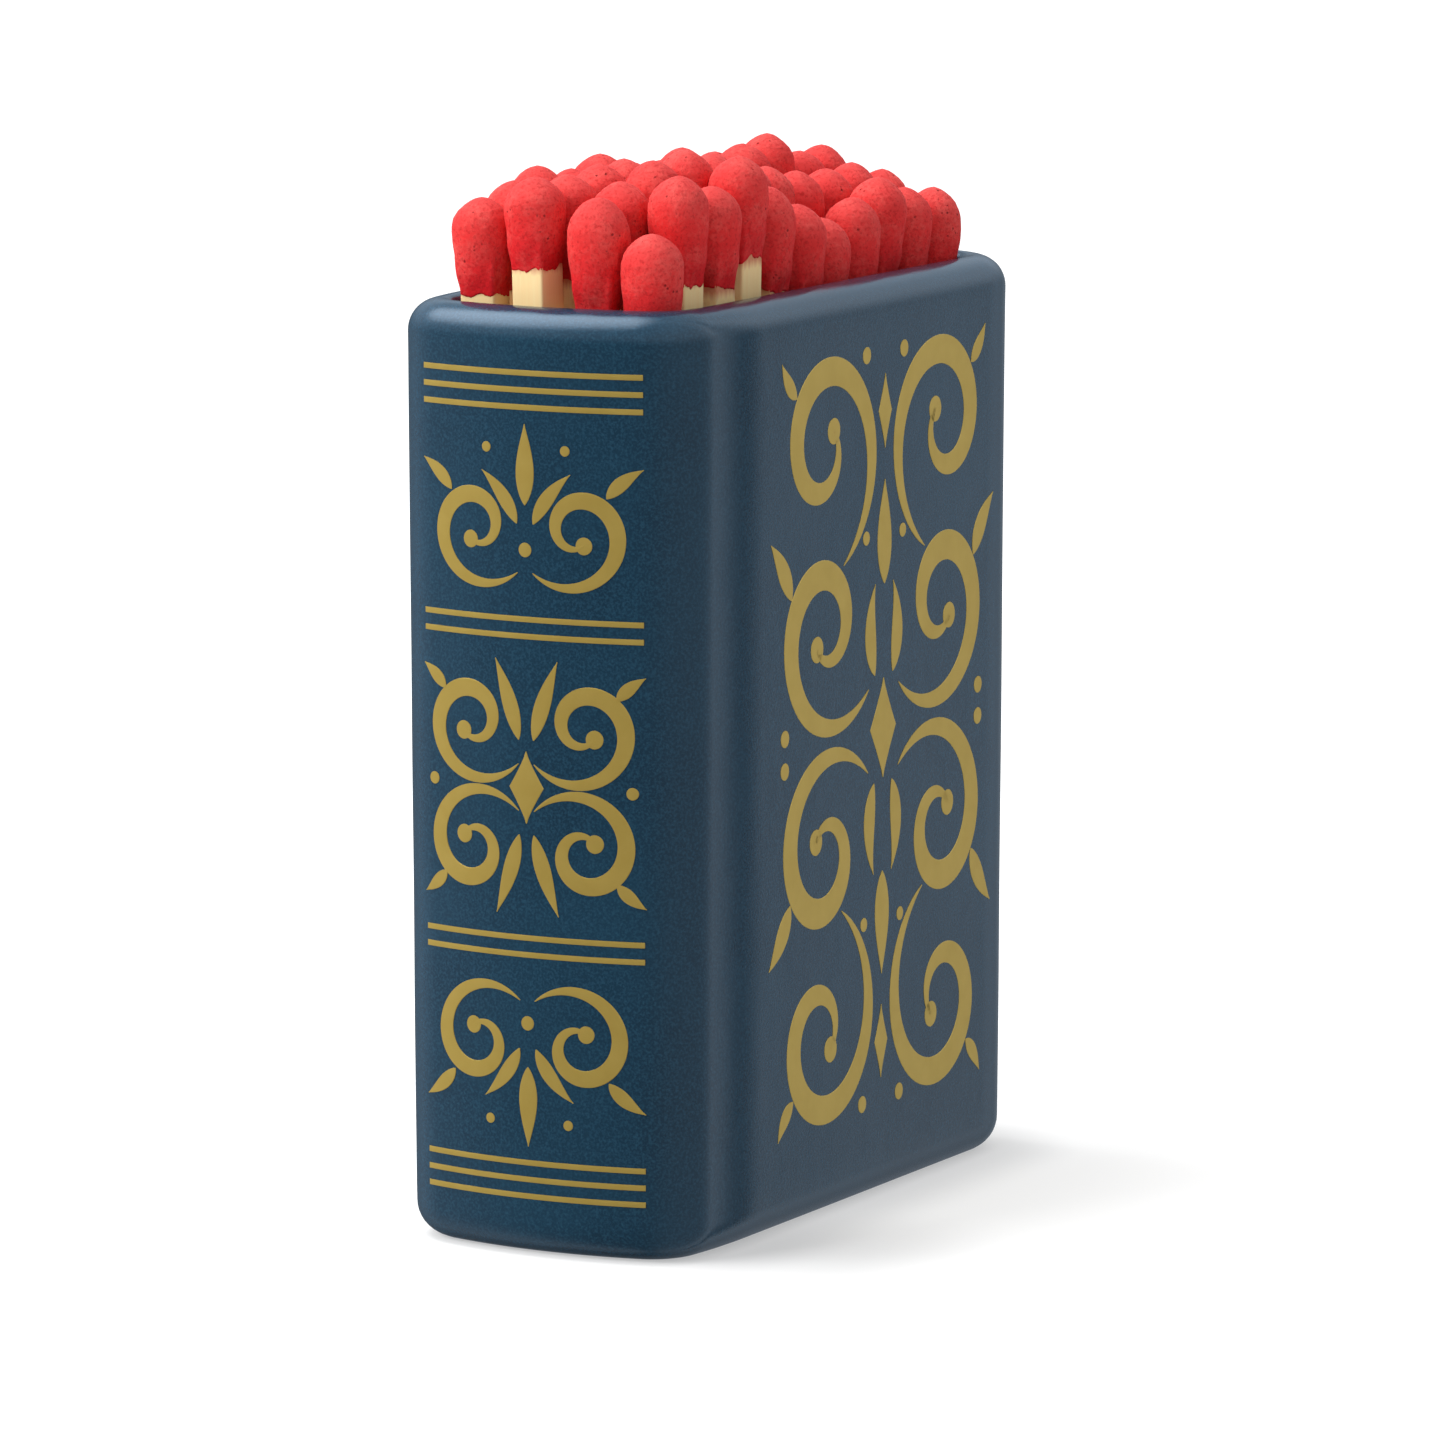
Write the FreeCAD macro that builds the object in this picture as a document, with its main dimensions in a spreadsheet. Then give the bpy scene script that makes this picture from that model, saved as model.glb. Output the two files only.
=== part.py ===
import FreeCAD, Part
import math
import os
import Sketcher
from FreeCAD import Placement, Rotation, Vector

# Match striker in the shape of a small closed book.
# A slip-cast ceramic vessel stands on its lower edge, with its spine towards -Y, its covers
# at -X and +X and its fore-edge towards +Y. Matches stand in it, heads up, and an abrasive
# strip is let into the fore-edge. All lengths are millimetres and all angles are degrees.
# The origin is on the table, under the middle of the vessel.

doc = FreeCAD.newDocument("MatchStriker")

# Driving dimensions

SIZES = (
    ("book_height", 92.0, "table to rim"),
    ("book_thickness", 34.6, "cover to cover at the rim"),
    ("book_depth", 75.2, "crown of the spine to the fore-edge at the rim"),
    ("spine_radius", 45.0, "swell of the spine across its width"),
    ("shoulder_radius", 8.0, "turn from the spine into a cover"),
    ("fore_corner_radius", 9.3, "upright corners at the fore-edge"),
    ("draft_angle", 0.27, "each wall leans out by this much for the mould"),
    ("wall", 4.4, "thickness of the walls at the rim"),
    ("floor_thickness", 5.0, "table to cavity floor"),
    ("cavity_corner_radius", 4.0, "upright corners of the cavity"),
    ("cavity_floor_slope", 2.4, "filled corner between cavity wall and floor"),
    ("rim_outer_radius", 3.1, "outer rounding of the rim"),
    ("rim_inner_slope", 0.9, "eased inner edge of the rim"),
    ("base_radius", 3.4, "rounding at the foot"),
    ("foot_ring_width", 3.2, "flat ring that stands on the table"),
    ("foot_recess", 1.0, "depth of the bare clay recess inside the ring"),
    ("strip_width", 20.0, "striking strip across the fore-edge"),
    ("strip_length", 66.0, "striking strip along the fore-edge"),
    ("strip_thickness", 0.8, "abrasive and its backing"),
    ("strip_corner_radius", 1.5, "corners of the striking strip"),
    ("strip_clearance", 0.15, "glue gap round the strip"),
    ("gilding_thickness", 0.1, "fired-on metal layer"),
    ("rule_height", 0.55, "one gold rule on the spine"),
    ("rule_pitch", 1.65, "rule to rule"),
    ("rule_reach", 24.0, "length of a rule across the spine"),
    ("rule_margin", 6.0, "rim to the first rule, and table to the last"),
    ("panel_margin", 29.7, "rim to the middle group of rules, and table to the lower one"),
    ("ornament_y", 4.2, "middle of the cover's ornament, from the vessel's towards the fore-edge"),
    ("ornament_rise", 1.5, "that middle above half the height"),
    ("ornament_unit", 1.0, "what the numbers of the ornament's drawing count"),
    ("stick_width", 3.6, "square match stick"),
    ("match_length", 97.0, "foot to tip of a middling match"),
    ("head_diameter", 5.8, "dipped head at its widest"),
    ("head_length", 10.4, "tip to the lower edge of the dip"),
    ("dip_thickness", 0.12, "coat on the stick at that edge"),
    ("head_gap", 0.1, "least gap between two heads"),
    ("mouth_margin", 0.7, "inner wall at the rim to the widest part of a head"),
    ("foot_gap", 0.9, "gap between two feet along the book"),
    ("foot_side_gap", 1.4, "gap between two feet across the book"),
    ("foot_setback", 3.0, "the feet crowd towards the spine by this much"),
)

sheet = doc.addObject("Spreadsheet::Sheet", "Sizes")
for row, (alias, number, note) in enumerate(SIZES, start=1):
    sheet.set(f"A{row}", alias)
    sheet.set(f"B{row}", str(number))
    sheet.set(f"C{row}", note)
    sheet.setAlias(f"B{row}", alias)
doc.recompute()


# How Sketcher numbers the points of a piece, and counts down for the origin and the axes
START, END, CENTRE = range(1, 4)
ORIGIN, UPRIGHT_AXIS = range(-1, -3, -1)


def size(alias):
    return float(sheet.get(alias))


# Helpers for sketches and features

def value(expression):
    return float(sheet.evalExpression(expression))


def new_body(name, label):
    body = doc.addObject("PartDesign::Body", name)
    body.Label = label
    return body


def new_sketch(body, name, role, offset=None):
    sketch = body.newObject("Sketcher::SketchObject", name)
    base_plane = next(item for item in body.Origin.OriginFeatures if item.Role == role)
    sketch.AttachmentSupport = (base_plane, [""])
    sketch.MapMode = "FlatFace"
    if offset is not None:
        sketch.AttachmentOffset = offset
    return sketch


def bind(sketch, kind, *where_and_size):
    """Adds a dimension whose size is an expression, the last argument."""
    *where, expression = where_and_size
    index = sketch.addConstraint(Sketcher.Constraint(kind, *where, value(expression)))
    sketch.renameConstraint(index, f"size_{index}")
    sketch.setExpression(f"Constraints.size_{index}", expression)


def fix(sketch, kind, *where):
    sketch.addConstraint(Sketcher.Constraint(kind, *where))


def arc(centre, radius, start, end):
    circle = Part.Circle(Vector(centre[0], centre[1], 0), Vector(0, 0, 1), radius)
    return Part.ArcOfCircle(circle, math.radians(start), math.radians(end))


def line(start, end):
    return Part.LineSegment(Vector(start[0], start[1], 0), Vector(end[0], end[1], 0))


def draw_book_outline(sketch, inset, shoulder, corner):
    """Outline of the book seen from above, counter-clockwise from the spine."""
    half = value(f"Sizes.book_thickness / 2 - ({inset})")
    back = value(f"Sizes.book_depth / 2 - ({inset})")
    spine = value(f"Sizes.spine_radius - ({inset})")
    shoulder_radius = value(shoulder)
    corner_radius = value(corner)
    spine_y = spine - back
    shoulder_x = half - shoulder_radius
    spread = math.asin(shoulder_x / (spine - shoulder_radius))
    shoulder_y = spine_y - (spine - shoulder_radius) * math.cos(spread)
    spread = math.degrees(spread)
    side = half - corner_radius
    corner_y = back - corner_radius
    pieces = [
        arc((0, spine_y), spine, 270 - spread, 270 + spread),
        arc((shoulder_x, shoulder_y), shoulder_radius, 270 + spread, 360),
        line((half, shoulder_y), (half, corner_y)),
        arc((side, corner_y), corner_radius, 0, 90),
        line((side, back), (-side, back)),
        arc((-side, corner_y), corner_radius, 90, 180),
        line((-half, corner_y), (-half, shoulder_y)),
        arc((-shoulder_x, shoulder_y), shoulder_radius, 180, 270 - spread),
    ]
    ids = list(sketch.addGeometry(pieces, False))
    for this, after in zip(ids, ids[1:] + ids[:1]):
        fix(sketch, "Tangent", this, END, after, START)
    spine_arc, first_shoulder, cover, first_corner = ids[:4]
    fore_edge, last_corner, other_cover, last_shoulder = ids[4:]
    fix(sketch, "Vertical", cover)
    fix(sketch, "Horizontal", fore_edge)
    fix(sketch, "Vertical", other_cover)
    fix(sketch, "PointOnObject", spine_arc, CENTRE, UPRIGHT_AXIS)
    fix(sketch, "Equal", first_shoulder, last_shoulder)
    fix(sketch, "Equal", first_corner, last_corner)
    bind(sketch, "Radius", spine_arc, f"Sizes.spine_radius - ({inset})")
    bind(sketch, "Radius", first_shoulder, shoulder)
    bind(sketch, "Radius", first_corner, corner)
    half_thickness = f"Sizes.book_thickness / 2 - ({inset})"
    bind(sketch, "DistanceX", ORIGIN, START, cover, START, half_thickness)
    bind(sketch, "DistanceX", other_cover, START, ORIGIN, START, half_thickness)
    bind(sketch, "DistanceY", ORIGIN, START, fore_edge, START,
         f"Sizes.book_depth / 2 - ({inset})")
    bind(sketch, "DistanceY", ORIGIN, START, spine_arc, CENTRE,
         "Sizes.spine_radius - Sizes.book_depth / 2")


def draw_rounded_rectangle(sketch, width, height, radius, low):
    """Upright rounded rectangle, centred across; low is where its lower edge lies."""
    half = value(f"({width}) / 2")
    bottom = value(low)
    top = value(f"({low}) + ({height})")
    rounding = value(radius)
    side = half - rounding
    pieces = [
        line((-side, bottom), (side, bottom)),
        arc((side, bottom + rounding), rounding, 270, 360),
        line((half, bottom + rounding), (half, top - rounding)),
        arc((side, top - rounding), rounding, 0, 90),
        line((side, top), (-side, top)),
        arc((-side, top - rounding), rounding, 90, 180),
        line((-half, top - rounding), (-half, bottom + rounding)),
        arc((-side, bottom + rounding), rounding, 180, 270),
    ]
    ids = list(sketch.addGeometry(pieces, False))
    for this, after in zip(ids, ids[1:] + ids[:1]):
        fix(sketch, "Tangent", this, END, after, START)
    fix(sketch, "Horizontal", ids[0])
    for other in ids[3::2]:
        fix(sketch, "Equal", ids[1], other)
    bind(sketch, "Radius", ids[1], radius)
    bind(sketch, "DistanceX", ORIGIN, START, ids[2], START, f"({width}) / 2")
    bind(sketch, "DistanceX", ids[6], START, ORIGIN, START, f"({width}) / 2")
    bind(sketch, "DistanceY", ORIGIN, START, ids[0], START, low)
    bind(sketch, "DistanceY", ids[0], START, ids[4], START, height)


def extrude(body, kind, name, sketch, length, reversed_way, taper=None):
    """Pad or Pocket; a Pocket has to take something away and a Pad has to add something."""
    before = body.Shape.Volume if body.Shape.Solids else 0.0
    feature = body.newObject(f"PartDesign::{kind}", name)
    feature.Profile = sketch
    feature.Reversed = reversed_way
    feature.setExpression("Length", length)
    if taper is not None:
        feature.setExpression("TaperAngle", taper)
    doc.recompute()
    change = feature.Shape.Volume - before
    if (change > 0) != (kind == "Pad"):
        raise RuntimeError(f"{name} changes the volume by {change:.1f} mm3")
    return feature


def dress_edges(body, kind, name, chosen, amount):
    """Fillet or Chamfer on the edges of the body's tip that chosen() accepts."""
    tip = body.Tip
    names = [f"Edge{i}" for i, edge in enumerate(tip.Shape.Edges, start=1) if chosen(edge)]
    feature = body.newObject(f"PartDesign::{kind}", name)
    feature.Base = (tip, names)
    feature.setExpression("Radius" if kind == "Fillet" else "Size", amount)
    doc.recompute()


def level_edges(height, inner):
    """Edges at one height, on the inner or the outer side of the wall."""
    limit = size("book_thickness") / 2 - size("wall") / 2
    reach = size("book_depth") / 2 - size("wall") / 2

    def chosen(edge):
        box = edge.BoundBox
        level = abs(box.ZMin - height) < 0.01 and abs(box.ZMax - height) < 0.01
        middle = edge.valueAt((edge.FirstParameter + edge.LastParameter) / 2)
        inside = abs(middle.x) < limit and abs(middle.y) < reach
        return level and inside == inner

    return chosen


# Vessel

def make_vessel():
    body = new_body("BookBody", "book_body")
    rim_level = Placement(Vector(0, 0, size("book_height")), Rotation())
    outline = new_sketch(body, "RimOutline", "XY_Plane", rim_level)
    outline.setExpression("AttachmentOffset.Base.z", "Sizes.book_height")
    draw_book_outline(outline, "0", "Sizes.shoulder_radius", "Sizes.fore_corner_radius")
    extrude(body, "Pad", "OuterForm", outline, "Sizes.book_height", True, "-Sizes.draft_angle")

    mouth = new_sketch(body, "MouthOutline", "XY_Plane", rim_level)
    mouth.setExpression("AttachmentOffset.Base.z", "Sizes.book_height")
    draw_book_outline(mouth, "Sizes.wall", "Sizes.cavity_corner_radius",
                      "Sizes.cavity_corner_radius")
    extrude(body, "Pocket", "Cavity", mouth, "Sizes.book_height - Sizes.floor_thickness",
            False)

    foot = new_sketch(body, "FootOutline", "XY_Plane")
    foot_inset = "Sizes.foot_ring_width + Sizes.base_radius"
    draw_book_outline(foot, foot_inset, "Sizes.base_radius", "Sizes.base_radius")
    extrude(body, "Pocket", "FootRecess", foot, "Sizes.foot_recess", True)

    dress_edges(body, "Fillet", "FootRounding", level_edges(0.0, False), "Sizes.base_radius")
    dress_edges(body, "Fillet", "RimOuterRounding", level_edges(size("book_height"), False),
                "Sizes.rim_outer_radius")
    dress_edges(body, "Chamfer", "RimInnerSlope", level_edges(size("book_height"), True),
                "Sizes.rim_inner_slope")
    dress_edges(body, "Chamfer", "CavityFloorSlope", level_edges(size("floor_thickness"), True),
                "Sizes.cavity_floor_slope")
    cut_strip_recess(body)
    return body


# Striking strip

def fore_edge_plane():
    """Sketch offset that lays the XZ plane on the leaning fore-edge, rim upwards."""
    lean = Rotation(Vector(1, 0, 0), -size("draft_angle"))
    return Placement(Vector(0, size("book_height"), -size("book_depth") / 2), lean)


def set_fore_edge_plane(sketch):
    sketch.setExpression("AttachmentOffset.Base.y", "Sizes.book_height")
    sketch.setExpression("AttachmentOffset.Base.z", "-Sizes.book_depth / 2")


def cut_strip_recess(body):
    recess = new_sketch(body, "StripRecessOutline", "XZ_Plane", fore_edge_plane())
    set_fore_edge_plane(recess)
    low = "-(Sizes.book_height + Sizes.strip_length) / 2 - Sizes.strip_clearance"
    draw_rounded_rectangle(recess, "Sizes.strip_width + 2 * Sizes.strip_clearance",
                           "Sizes.strip_length + 2 * Sizes.strip_clearance",
                           "Sizes.strip_corner_radius + Sizes.strip_clearance", low)
    extrude(body, "Pocket", "StripRecess", recess, "Sizes.strip_thickness", True)


def make_striking_strip():
    body = new_body("StrikingStrip", "striker_strip")
    outline = new_sketch(body, "StripOutline", "XZ_Plane", fore_edge_plane())
    set_fore_edge_plane(outline)
    low = "-(Sizes.book_height + Sizes.strip_length) / 2"
    draw_rounded_rectangle(outline, "Sizes.strip_width", "Sizes.strip_length",
                           "Sizes.strip_corner_radius", low)
    extrude(body, "Pad", "Strip", outline, "Sizes.strip_thickness", False)
    return body


# Ornament: flat faces drawn in a panel's own plane, u to the right and v up

# The panel's plane stands this far outside the vessel
OUTSIDE = 1.0
# Two corners of a stroke that are closer than this are one point
POINTED = 0.02


def stroke_face(line, half_widths):
    """Face of a stroke along the points of a line, pointed or narrow at both ends."""
    left, right = [], []
    for index, (here, half) in enumerate(zip(line, half_widths)):
        along = line[min(index + 1, len(line) - 1)] - line[max(index - 1, 0)]
        side = Vector(-along.y, along.x, 0).normalize() * half
        left.append(here + side)
        right.append(here - side)
    outline = left + right[::-1]
    corners = [outline[0]]
    for point in outline[1:]:
        if (point - corners[-1]).Length > POINTED:
            corners.append(point)
    if (corners[0] - corners[-1]).Length <= POINTED:
        corners.pop()
    return Part.Face(Part.makePolygon(corners + corners[:1]))


def volute(u, v, first_radius, last_radius, start, turn, width, points):
    """Stroke that winds in about u, v, from the angle start through the angle turn."""
    line, half_widths = [], []
    for i in range(points):
        share = i / (points - 1)
        angle = math.radians(start + turn * share)
        radius = first_radius * (last_radius / first_radius) ** share
        line.append(Vector(u + radius * math.cos(angle), v + radius * math.sin(angle), 0))
        half_widths.append(width / 2 * math.sin(math.pi * 0.95 * share ** 0.7))
    return stroke_face(line, half_widths)


def leaf(u, v, heading, length, width, bend=0.0, steps=2):
    """Pointed leaf from u, v that turns by bend degrees over its length."""
    line, half_widths = [], []
    here = Vector(u, v, 0)
    for i in range(steps + 1):
        line.append(here)
        half_widths.append(width / 2 * math.sin(math.pi * i / steps))
        angle = math.radians(heading + bend * (i + 0.5) / steps)
        here = here + Vector(math.cos(angle), math.sin(angle), 0) * (length / steps)
    return stroke_face(line, half_widths)


def lozenge(u, v, width, height):
    corners = [(u - width / 2, v), (u, v - height / 2), (u + width / 2, v), (u, v + height / 2)]
    return Part.Face(Part.makePolygon([Vector(a, b, 0) for a, b in corners + corners[:1]]))


def dot(u, v, radius, sides=6):
    turns = [2 * math.pi * i / sides for i in range(sides)]
    corners = [Vector(u + radius * math.cos(t), v + radius * math.sin(t), 0) for t in turns]
    return Part.Face(Part.makePolygon(corners + corners[:1]))


def bar(u, v, width, height):
    """Flat rule centred on u, v."""
    corner = Vector(u - width / 2, v - height / 2, 0)
    return Part.makePlane(width, height, corner)


def both_sides(faces):
    """The faces and their mirror images about the upright middle line."""
    return faces + [face.mirror(Vector(), Vector(1, 0, 0)) for face in faces]


def upside_down(faces, level=0.0):
    return [face.mirror(Vector(0, level, 0), Vector(0, 1, 0)) for face in faces]


def at_size(faces, u, v):
    """Faces drawn about the origin in ornament units, at their real size about u, v."""
    for face in faces:
        face.scale(size("ornament_unit"), Vector())
        face.translate(Vector(u, v, 0))
    return faces


def spine_rules():
    """Three rules near each end and two rules either side of the middle panel."""
    levels = []
    for index in range(3):
        levels.append(size("rule_margin") + index * size("rule_pitch"))
    for index in range(2):
        levels.append(size("panel_margin") + index * size("rule_pitch"))
    rules = []
    for level in levels:
        for v in (level, size("book_height") - level):
            rules.append(bar(0, v, size("rule_reach"), size("rule_height")))
    return rules


def spine_end_panel():
    """Two open scrolls that face each other, under a fan of leaves."""
    faces = both_sides([
        volute(5.5, -1.4, 6.3, 2.8, 222, 250, 1.7, 6),
        leaf(8.5, 1.9, 52, 4.6, 1.4, -26),
        leaf(0.9, -0.9, 66, 6.4, 1.5, -29),
    ])
    return faces + [leaf(0, 0.9, 90, 7.8, 2.0)]


def spine_middle_panel():
    """Four open scrolls about a lozenge."""
    upper = both_sides([
        volute(6.1, 6.1, 6.5, 2.8, 216, 260, 1.8, 6),
        leaf(0.8, 4.6, 76, 8.2, 1.7, -9),
    ])
    return upper + upside_down(upper) + [lozenge(0, 0, 3.8, 7.0)]


def cover_field():
    """Eight volutes either side of a row of lozenges and leaves."""
    upper = both_sides([
        volute(12.2, 11.2, 11.4, 2.6, 218, 462, 3.1, 17),
        dot(14.2, 9.5, 1.3),
        volute(13.0, 29.0, 12.6, 2.7, 250, -468, 3.0, 17),
        dot(10.9, 30.7, 1.3),
        leaf(19.5, 15.0, 66, 7.4, 2.3, -25),
        leaf(1.9, 5.4, 66, 9.4, 2.3, 48),
        leaf(18.7, 34.6, 36, 4.8, 1.7, 27),
        dot(20.8, 1.6, 0.85),
        dot(4.0, 37.4, 0.85),
        dot(3.9, 19.3, 0.7),
    ])
    upper += [leaf(0, 14.4, 90, 10.4, 3.0), lozenge(0, 31.6, 2.8, 7.4)]
    return upper + upside_down(upper) + [lozenge(0, 0, 5.6, 10.0)]


def make_grown_form():
    """The outer form, larger all round by the thickness of the gilding."""
    body = new_body("GrownForm", "grown_form")
    level = Placement(Vector(0, 0, size("book_height")), Rotation())
    outline = new_sketch(body, "GrownOutline", "XY_Plane", level)
    outline.setExpression("AttachmentOffset.Base.z", "Sizes.book_height")
    draw_book_outline(outline, "-Sizes.gilding_thickness",
                      "Sizes.shoulder_radius + Sizes.gilding_thickness",
                      "Sizes.fore_corner_radius + Sizes.gilding_thickness")
    extrude(body, "Pad", "GrownOuterForm", outline, "Sizes.book_height", True,
            "-Sizes.draft_angle")
    return body


def make_gilding(name, label, faces, base, turn, reach, grown, vessel):
    """Thin metal on the vessel, wherever the faces reach it when moved along their normal."""
    prisms = []
    for face in faces:
        face.Placement = Placement(base, turn).multiply(face.Placement)
        prisms.append(face.extrude(reach))
    pattern = doc.addObject("Part::Feature", f"{name}Pattern")
    pattern.Shape = prisms[0].multiFuse(prisms[1:])
    pressed = doc.addObject("Part::Common", f"{name}Pressed")
    pressed.Base = grown
    pressed.Tool = pattern
    gilding = doc.addObject("Part::Cut", name)
    gilding.Base = pressed
    gilding.Tool = vessel
    gilding.Label = label
    doc.recompute()
    return gilding


# Matches

# How far each tip stands above the middling one, by row from the spine and by column
TIP_RISE = (
    (-0.2, 2.0, 0.4, -2.8),
    (1.0, 1.8, 1.4, 2.2),
    (2.0, 2.4, 3.0, 0.8),
    (1.2, 2.4, 3.6, 3.2),
    (2.2, 1.8, 2.6, -0.2),
    (1.0, 2.6, 1.4, -2.4),
    (0.6, 1.6, 0.6, -4.2),
    (1.4, 2.2, -0.2, -2.6),
    (0.8, 2.8, -0.4, -1.0),
    (1.2, 0.8, -0.2, -2.4),
    (0.4, 1.0, -1.2, -2.8),
)
# How far each head strays across the book, by row and by column, and how sticks are twisted
HEAD_STRAY = (
    (0.1, -0.2, 0.6, 0.3),
    (0.3, 0.1, -0.2, -0.1),
    (-0.4, 0.3, 0.1, 0.3),
    (0.1, -0.2, 0.4, 0.1),
    (0.0, 0.5, 0.2, 0.0),
)
STICK_TWIST = (4.0, -6.0, 9.0, -2.0, 7.0, -8.0, 1.0, -4.0)

# Dipped head, from the tip down: share of the head's length, share of its radius, and how
# far the section has gone from round to the square of the stick
HEAD_STATIONS = (
    (0.0, 0.45, 0.0),
    (0.09, 0.82, 0.0),
    (0.3, 1.0, 0.0),
    (1.0, 0.0, 1.0),
)
HEAD_SIDES = 8


def head_section(level, radius, squareness):
    """Closed outline of a head at one level, round above and square at its lower edge."""
    half = size("stick_width") / 2 + size("dip_thickness")
    points = []
    for i in range(HEAD_SIDES):
        angle = 2 * math.pi * i / HEAD_SIDES
        square = half / max(abs(math.cos(angle)), abs(math.sin(angle)))
        reach = (1 - squareness) * radius + squareness * square
        points.append(Vector(reach * math.cos(angle), reach * math.sin(angle), level))
    return points


def flat_faces(lower, upper):
    """Two triangles for each side of the band between two sections."""
    faces = []
    for i in range(HEAD_SIDES):
        near, far = i, (i + 1) % HEAD_SIDES
        for corners in ((lower[near], lower[far], upper[far]), (lower[near], upper[far], upper[near])):
            faces.append(Part.Face(Part.makePolygon(list(corners) + [corners[0]])))
    return faces


def match_shape(length):
    """Square stick from its foot at the origin up into the head, one solid."""
    radius = size("head_diameter") / 2
    sections = []
    for share, girth, squareness in reversed(HEAD_STATIONS):
        level = length - share * size("head_length")
        sections.append(head_section(level, girth * radius, squareness))
    faces = []
    for lower, upper in zip(sections, sections[1:]):
        faces += flat_faces(lower, upper)
    for cap in (sections[0], sections[-1]):
        faces.append(Part.Face(Part.makePolygon(cap + cap[:1])))
    head = Part.makeSolid(Part.makeShell(faces))
    if head.Volume < 0:
        head.reverse()
    width = size("stick_width")
    buried = length - size("head_length") / 2
    stick = Part.makeBox(width, width, buried, Vector(-width / 2, -width / 2, 0))
    return head.fuse(stick).removeSplitter()


def spread_evenly(room, thing, gap):
    """Places of as many things as fit side by side in the room, centred on zero."""
    count = max(1, int((room - thing) / (thing + gap) + 1e-6) + 1)
    pitch = (room - thing) / (count - 1) if count > 1 else 0.0
    return [(i - (count - 1) / 2) * pitch for i in range(count)]


def pick(table, row, column):
    """Value from a table that starts again when the rows or columns run out."""
    line_of_table = table[row % len(table)]
    return line_of_table[column % len(line_of_table)]


def make_matches():
    head = size("head_diameter")
    border = size("wall") + size("mouth_margin")
    mouth_width = size("book_thickness") - 2 * border
    mouth_depth = size("book_depth") - 2 * border
    columns = spread_evenly(mouth_width, head, size("head_gap"))
    rows = spread_evenly(mouth_depth, head, size("head_gap"))
    foot_pitch = size("stick_width") + size("foot_gap")
    foot_side_pitch = size("stick_width") + size("foot_side_gap")
    half_diagonal = size("stick_width") / math.sqrt(2)
    matches = []
    for r, head_y in enumerate(rows):
        for c, head_x in enumerate(columns):
            number = r * len(columns) + c
            rise = pick(TIP_RISE, r, c)
            stray = pick(HEAD_STRAY, r, c)
            twist = STICK_TWIST[number % len(STICK_TWIST)]
            length = size("match_length") + rise
            foot = Vector((c - (len(columns) - 1) / 2) * foot_side_pitch,
                          (r - (len(rows) - 1) / 2) * foot_pitch - size("foot_setback"), 0)
            top = Vector(head_x + stray, head_y, length)
            lean = Rotation(Vector(0, 0, 1), top - foot)
            axis = (top - foot).normalize()
            foot.z = size("floor_thickness") + half_diagonal * math.hypot(axis.x, axis.y)
            match = doc.addObject("Part::Feature", f"Match{number + 1:02d}")
            match.Label = f"match_{number + 1:02d}"
            match.Shape = match_shape(length)
            match.Placement = Placement(foot, lean.multiply(Rotation(Vector(0, 0, 1), twist)))
            matches.append(match)
    return matches


# Assembly

vessel = make_vessel()
strip = make_striking_strip()
grown = make_grown_form()

mid_height = size("book_height") / 2
panel_middle = (size("rule_margin") + 2 * size("rule_pitch") + size("panel_margin")) / 2
upper_panel = at_size(spine_end_panel(), 0, size("book_height") - panel_middle)
spine_faces = spine_rules() + upper_panel + upside_down(upper_panel, mid_height)
spine_faces += at_size(spine_middle_panel(), 0, mid_height)

facing_spine = Rotation(Vector(1, 0, 0), 90)
facing_cover = Rotation(Vector(0, 0, 1), 90).multiply(facing_spine)
spine_gilding = make_gilding(
    "SpineGilding", "spine_gilding", spine_faces,
    Vector(0, -size("book_depth") / 2 - OUTSIDE, 0), facing_spine,
    Vector(0, size("wall"), 0), grown, vessel)
cover_gilding = make_gilding(
    "CoverGilding", "cover_gilding",
    at_size(cover_field(), size("ornament_y"), mid_height + size("ornament_rise")),
    Vector(size("book_thickness") / 2 + OUTSIDE, 0, 0), facing_cover,
    Vector(-size("wall"), 0, 0), grown, vessel)

parts = [vessel, strip, spine_gilding, cover_gilding] + make_matches()
doc.recompute()

for item in doc.Objects:
    if "Invalid" in item.State or "Error" in item.State:
        raise RuntimeError(f"{item.Name} failed: {item.State}")
for item in parts:
    if item.Shape.isNull() or not item.Shape.isValid() or not item.Shape.Solids:
        raise RuntimeError(f"{item.Label} has no sound shape")

os.makedirs("parts", exist_ok=True)
for item in parts:
    item.Shape.exportStep(f"parts/{item.Label}.step")
print(f"{len(parts)} pieces written")
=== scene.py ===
import bisect
import math

import bmesh
import bpy
from mathutils import Matrix, Vector, noise


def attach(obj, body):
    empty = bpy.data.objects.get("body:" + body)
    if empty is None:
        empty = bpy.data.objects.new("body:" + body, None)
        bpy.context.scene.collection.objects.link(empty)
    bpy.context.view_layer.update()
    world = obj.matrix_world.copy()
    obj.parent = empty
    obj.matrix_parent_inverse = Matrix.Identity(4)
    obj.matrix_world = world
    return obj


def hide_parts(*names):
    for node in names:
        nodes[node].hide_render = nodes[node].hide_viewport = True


# Book-shaped match striker: a glazed ceramic vessel with fired gold ornament, full of
# wooden matches. The dictionaries give millimetres and degrees, the meshes are in metres.

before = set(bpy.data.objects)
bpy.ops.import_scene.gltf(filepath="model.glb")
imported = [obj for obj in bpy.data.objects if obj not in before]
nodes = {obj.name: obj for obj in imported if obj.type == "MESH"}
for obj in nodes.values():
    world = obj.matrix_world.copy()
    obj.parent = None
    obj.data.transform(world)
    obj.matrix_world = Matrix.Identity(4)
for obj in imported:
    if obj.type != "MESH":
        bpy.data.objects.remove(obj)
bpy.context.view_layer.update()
mm = 0.001
print("frame loaded")


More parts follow.
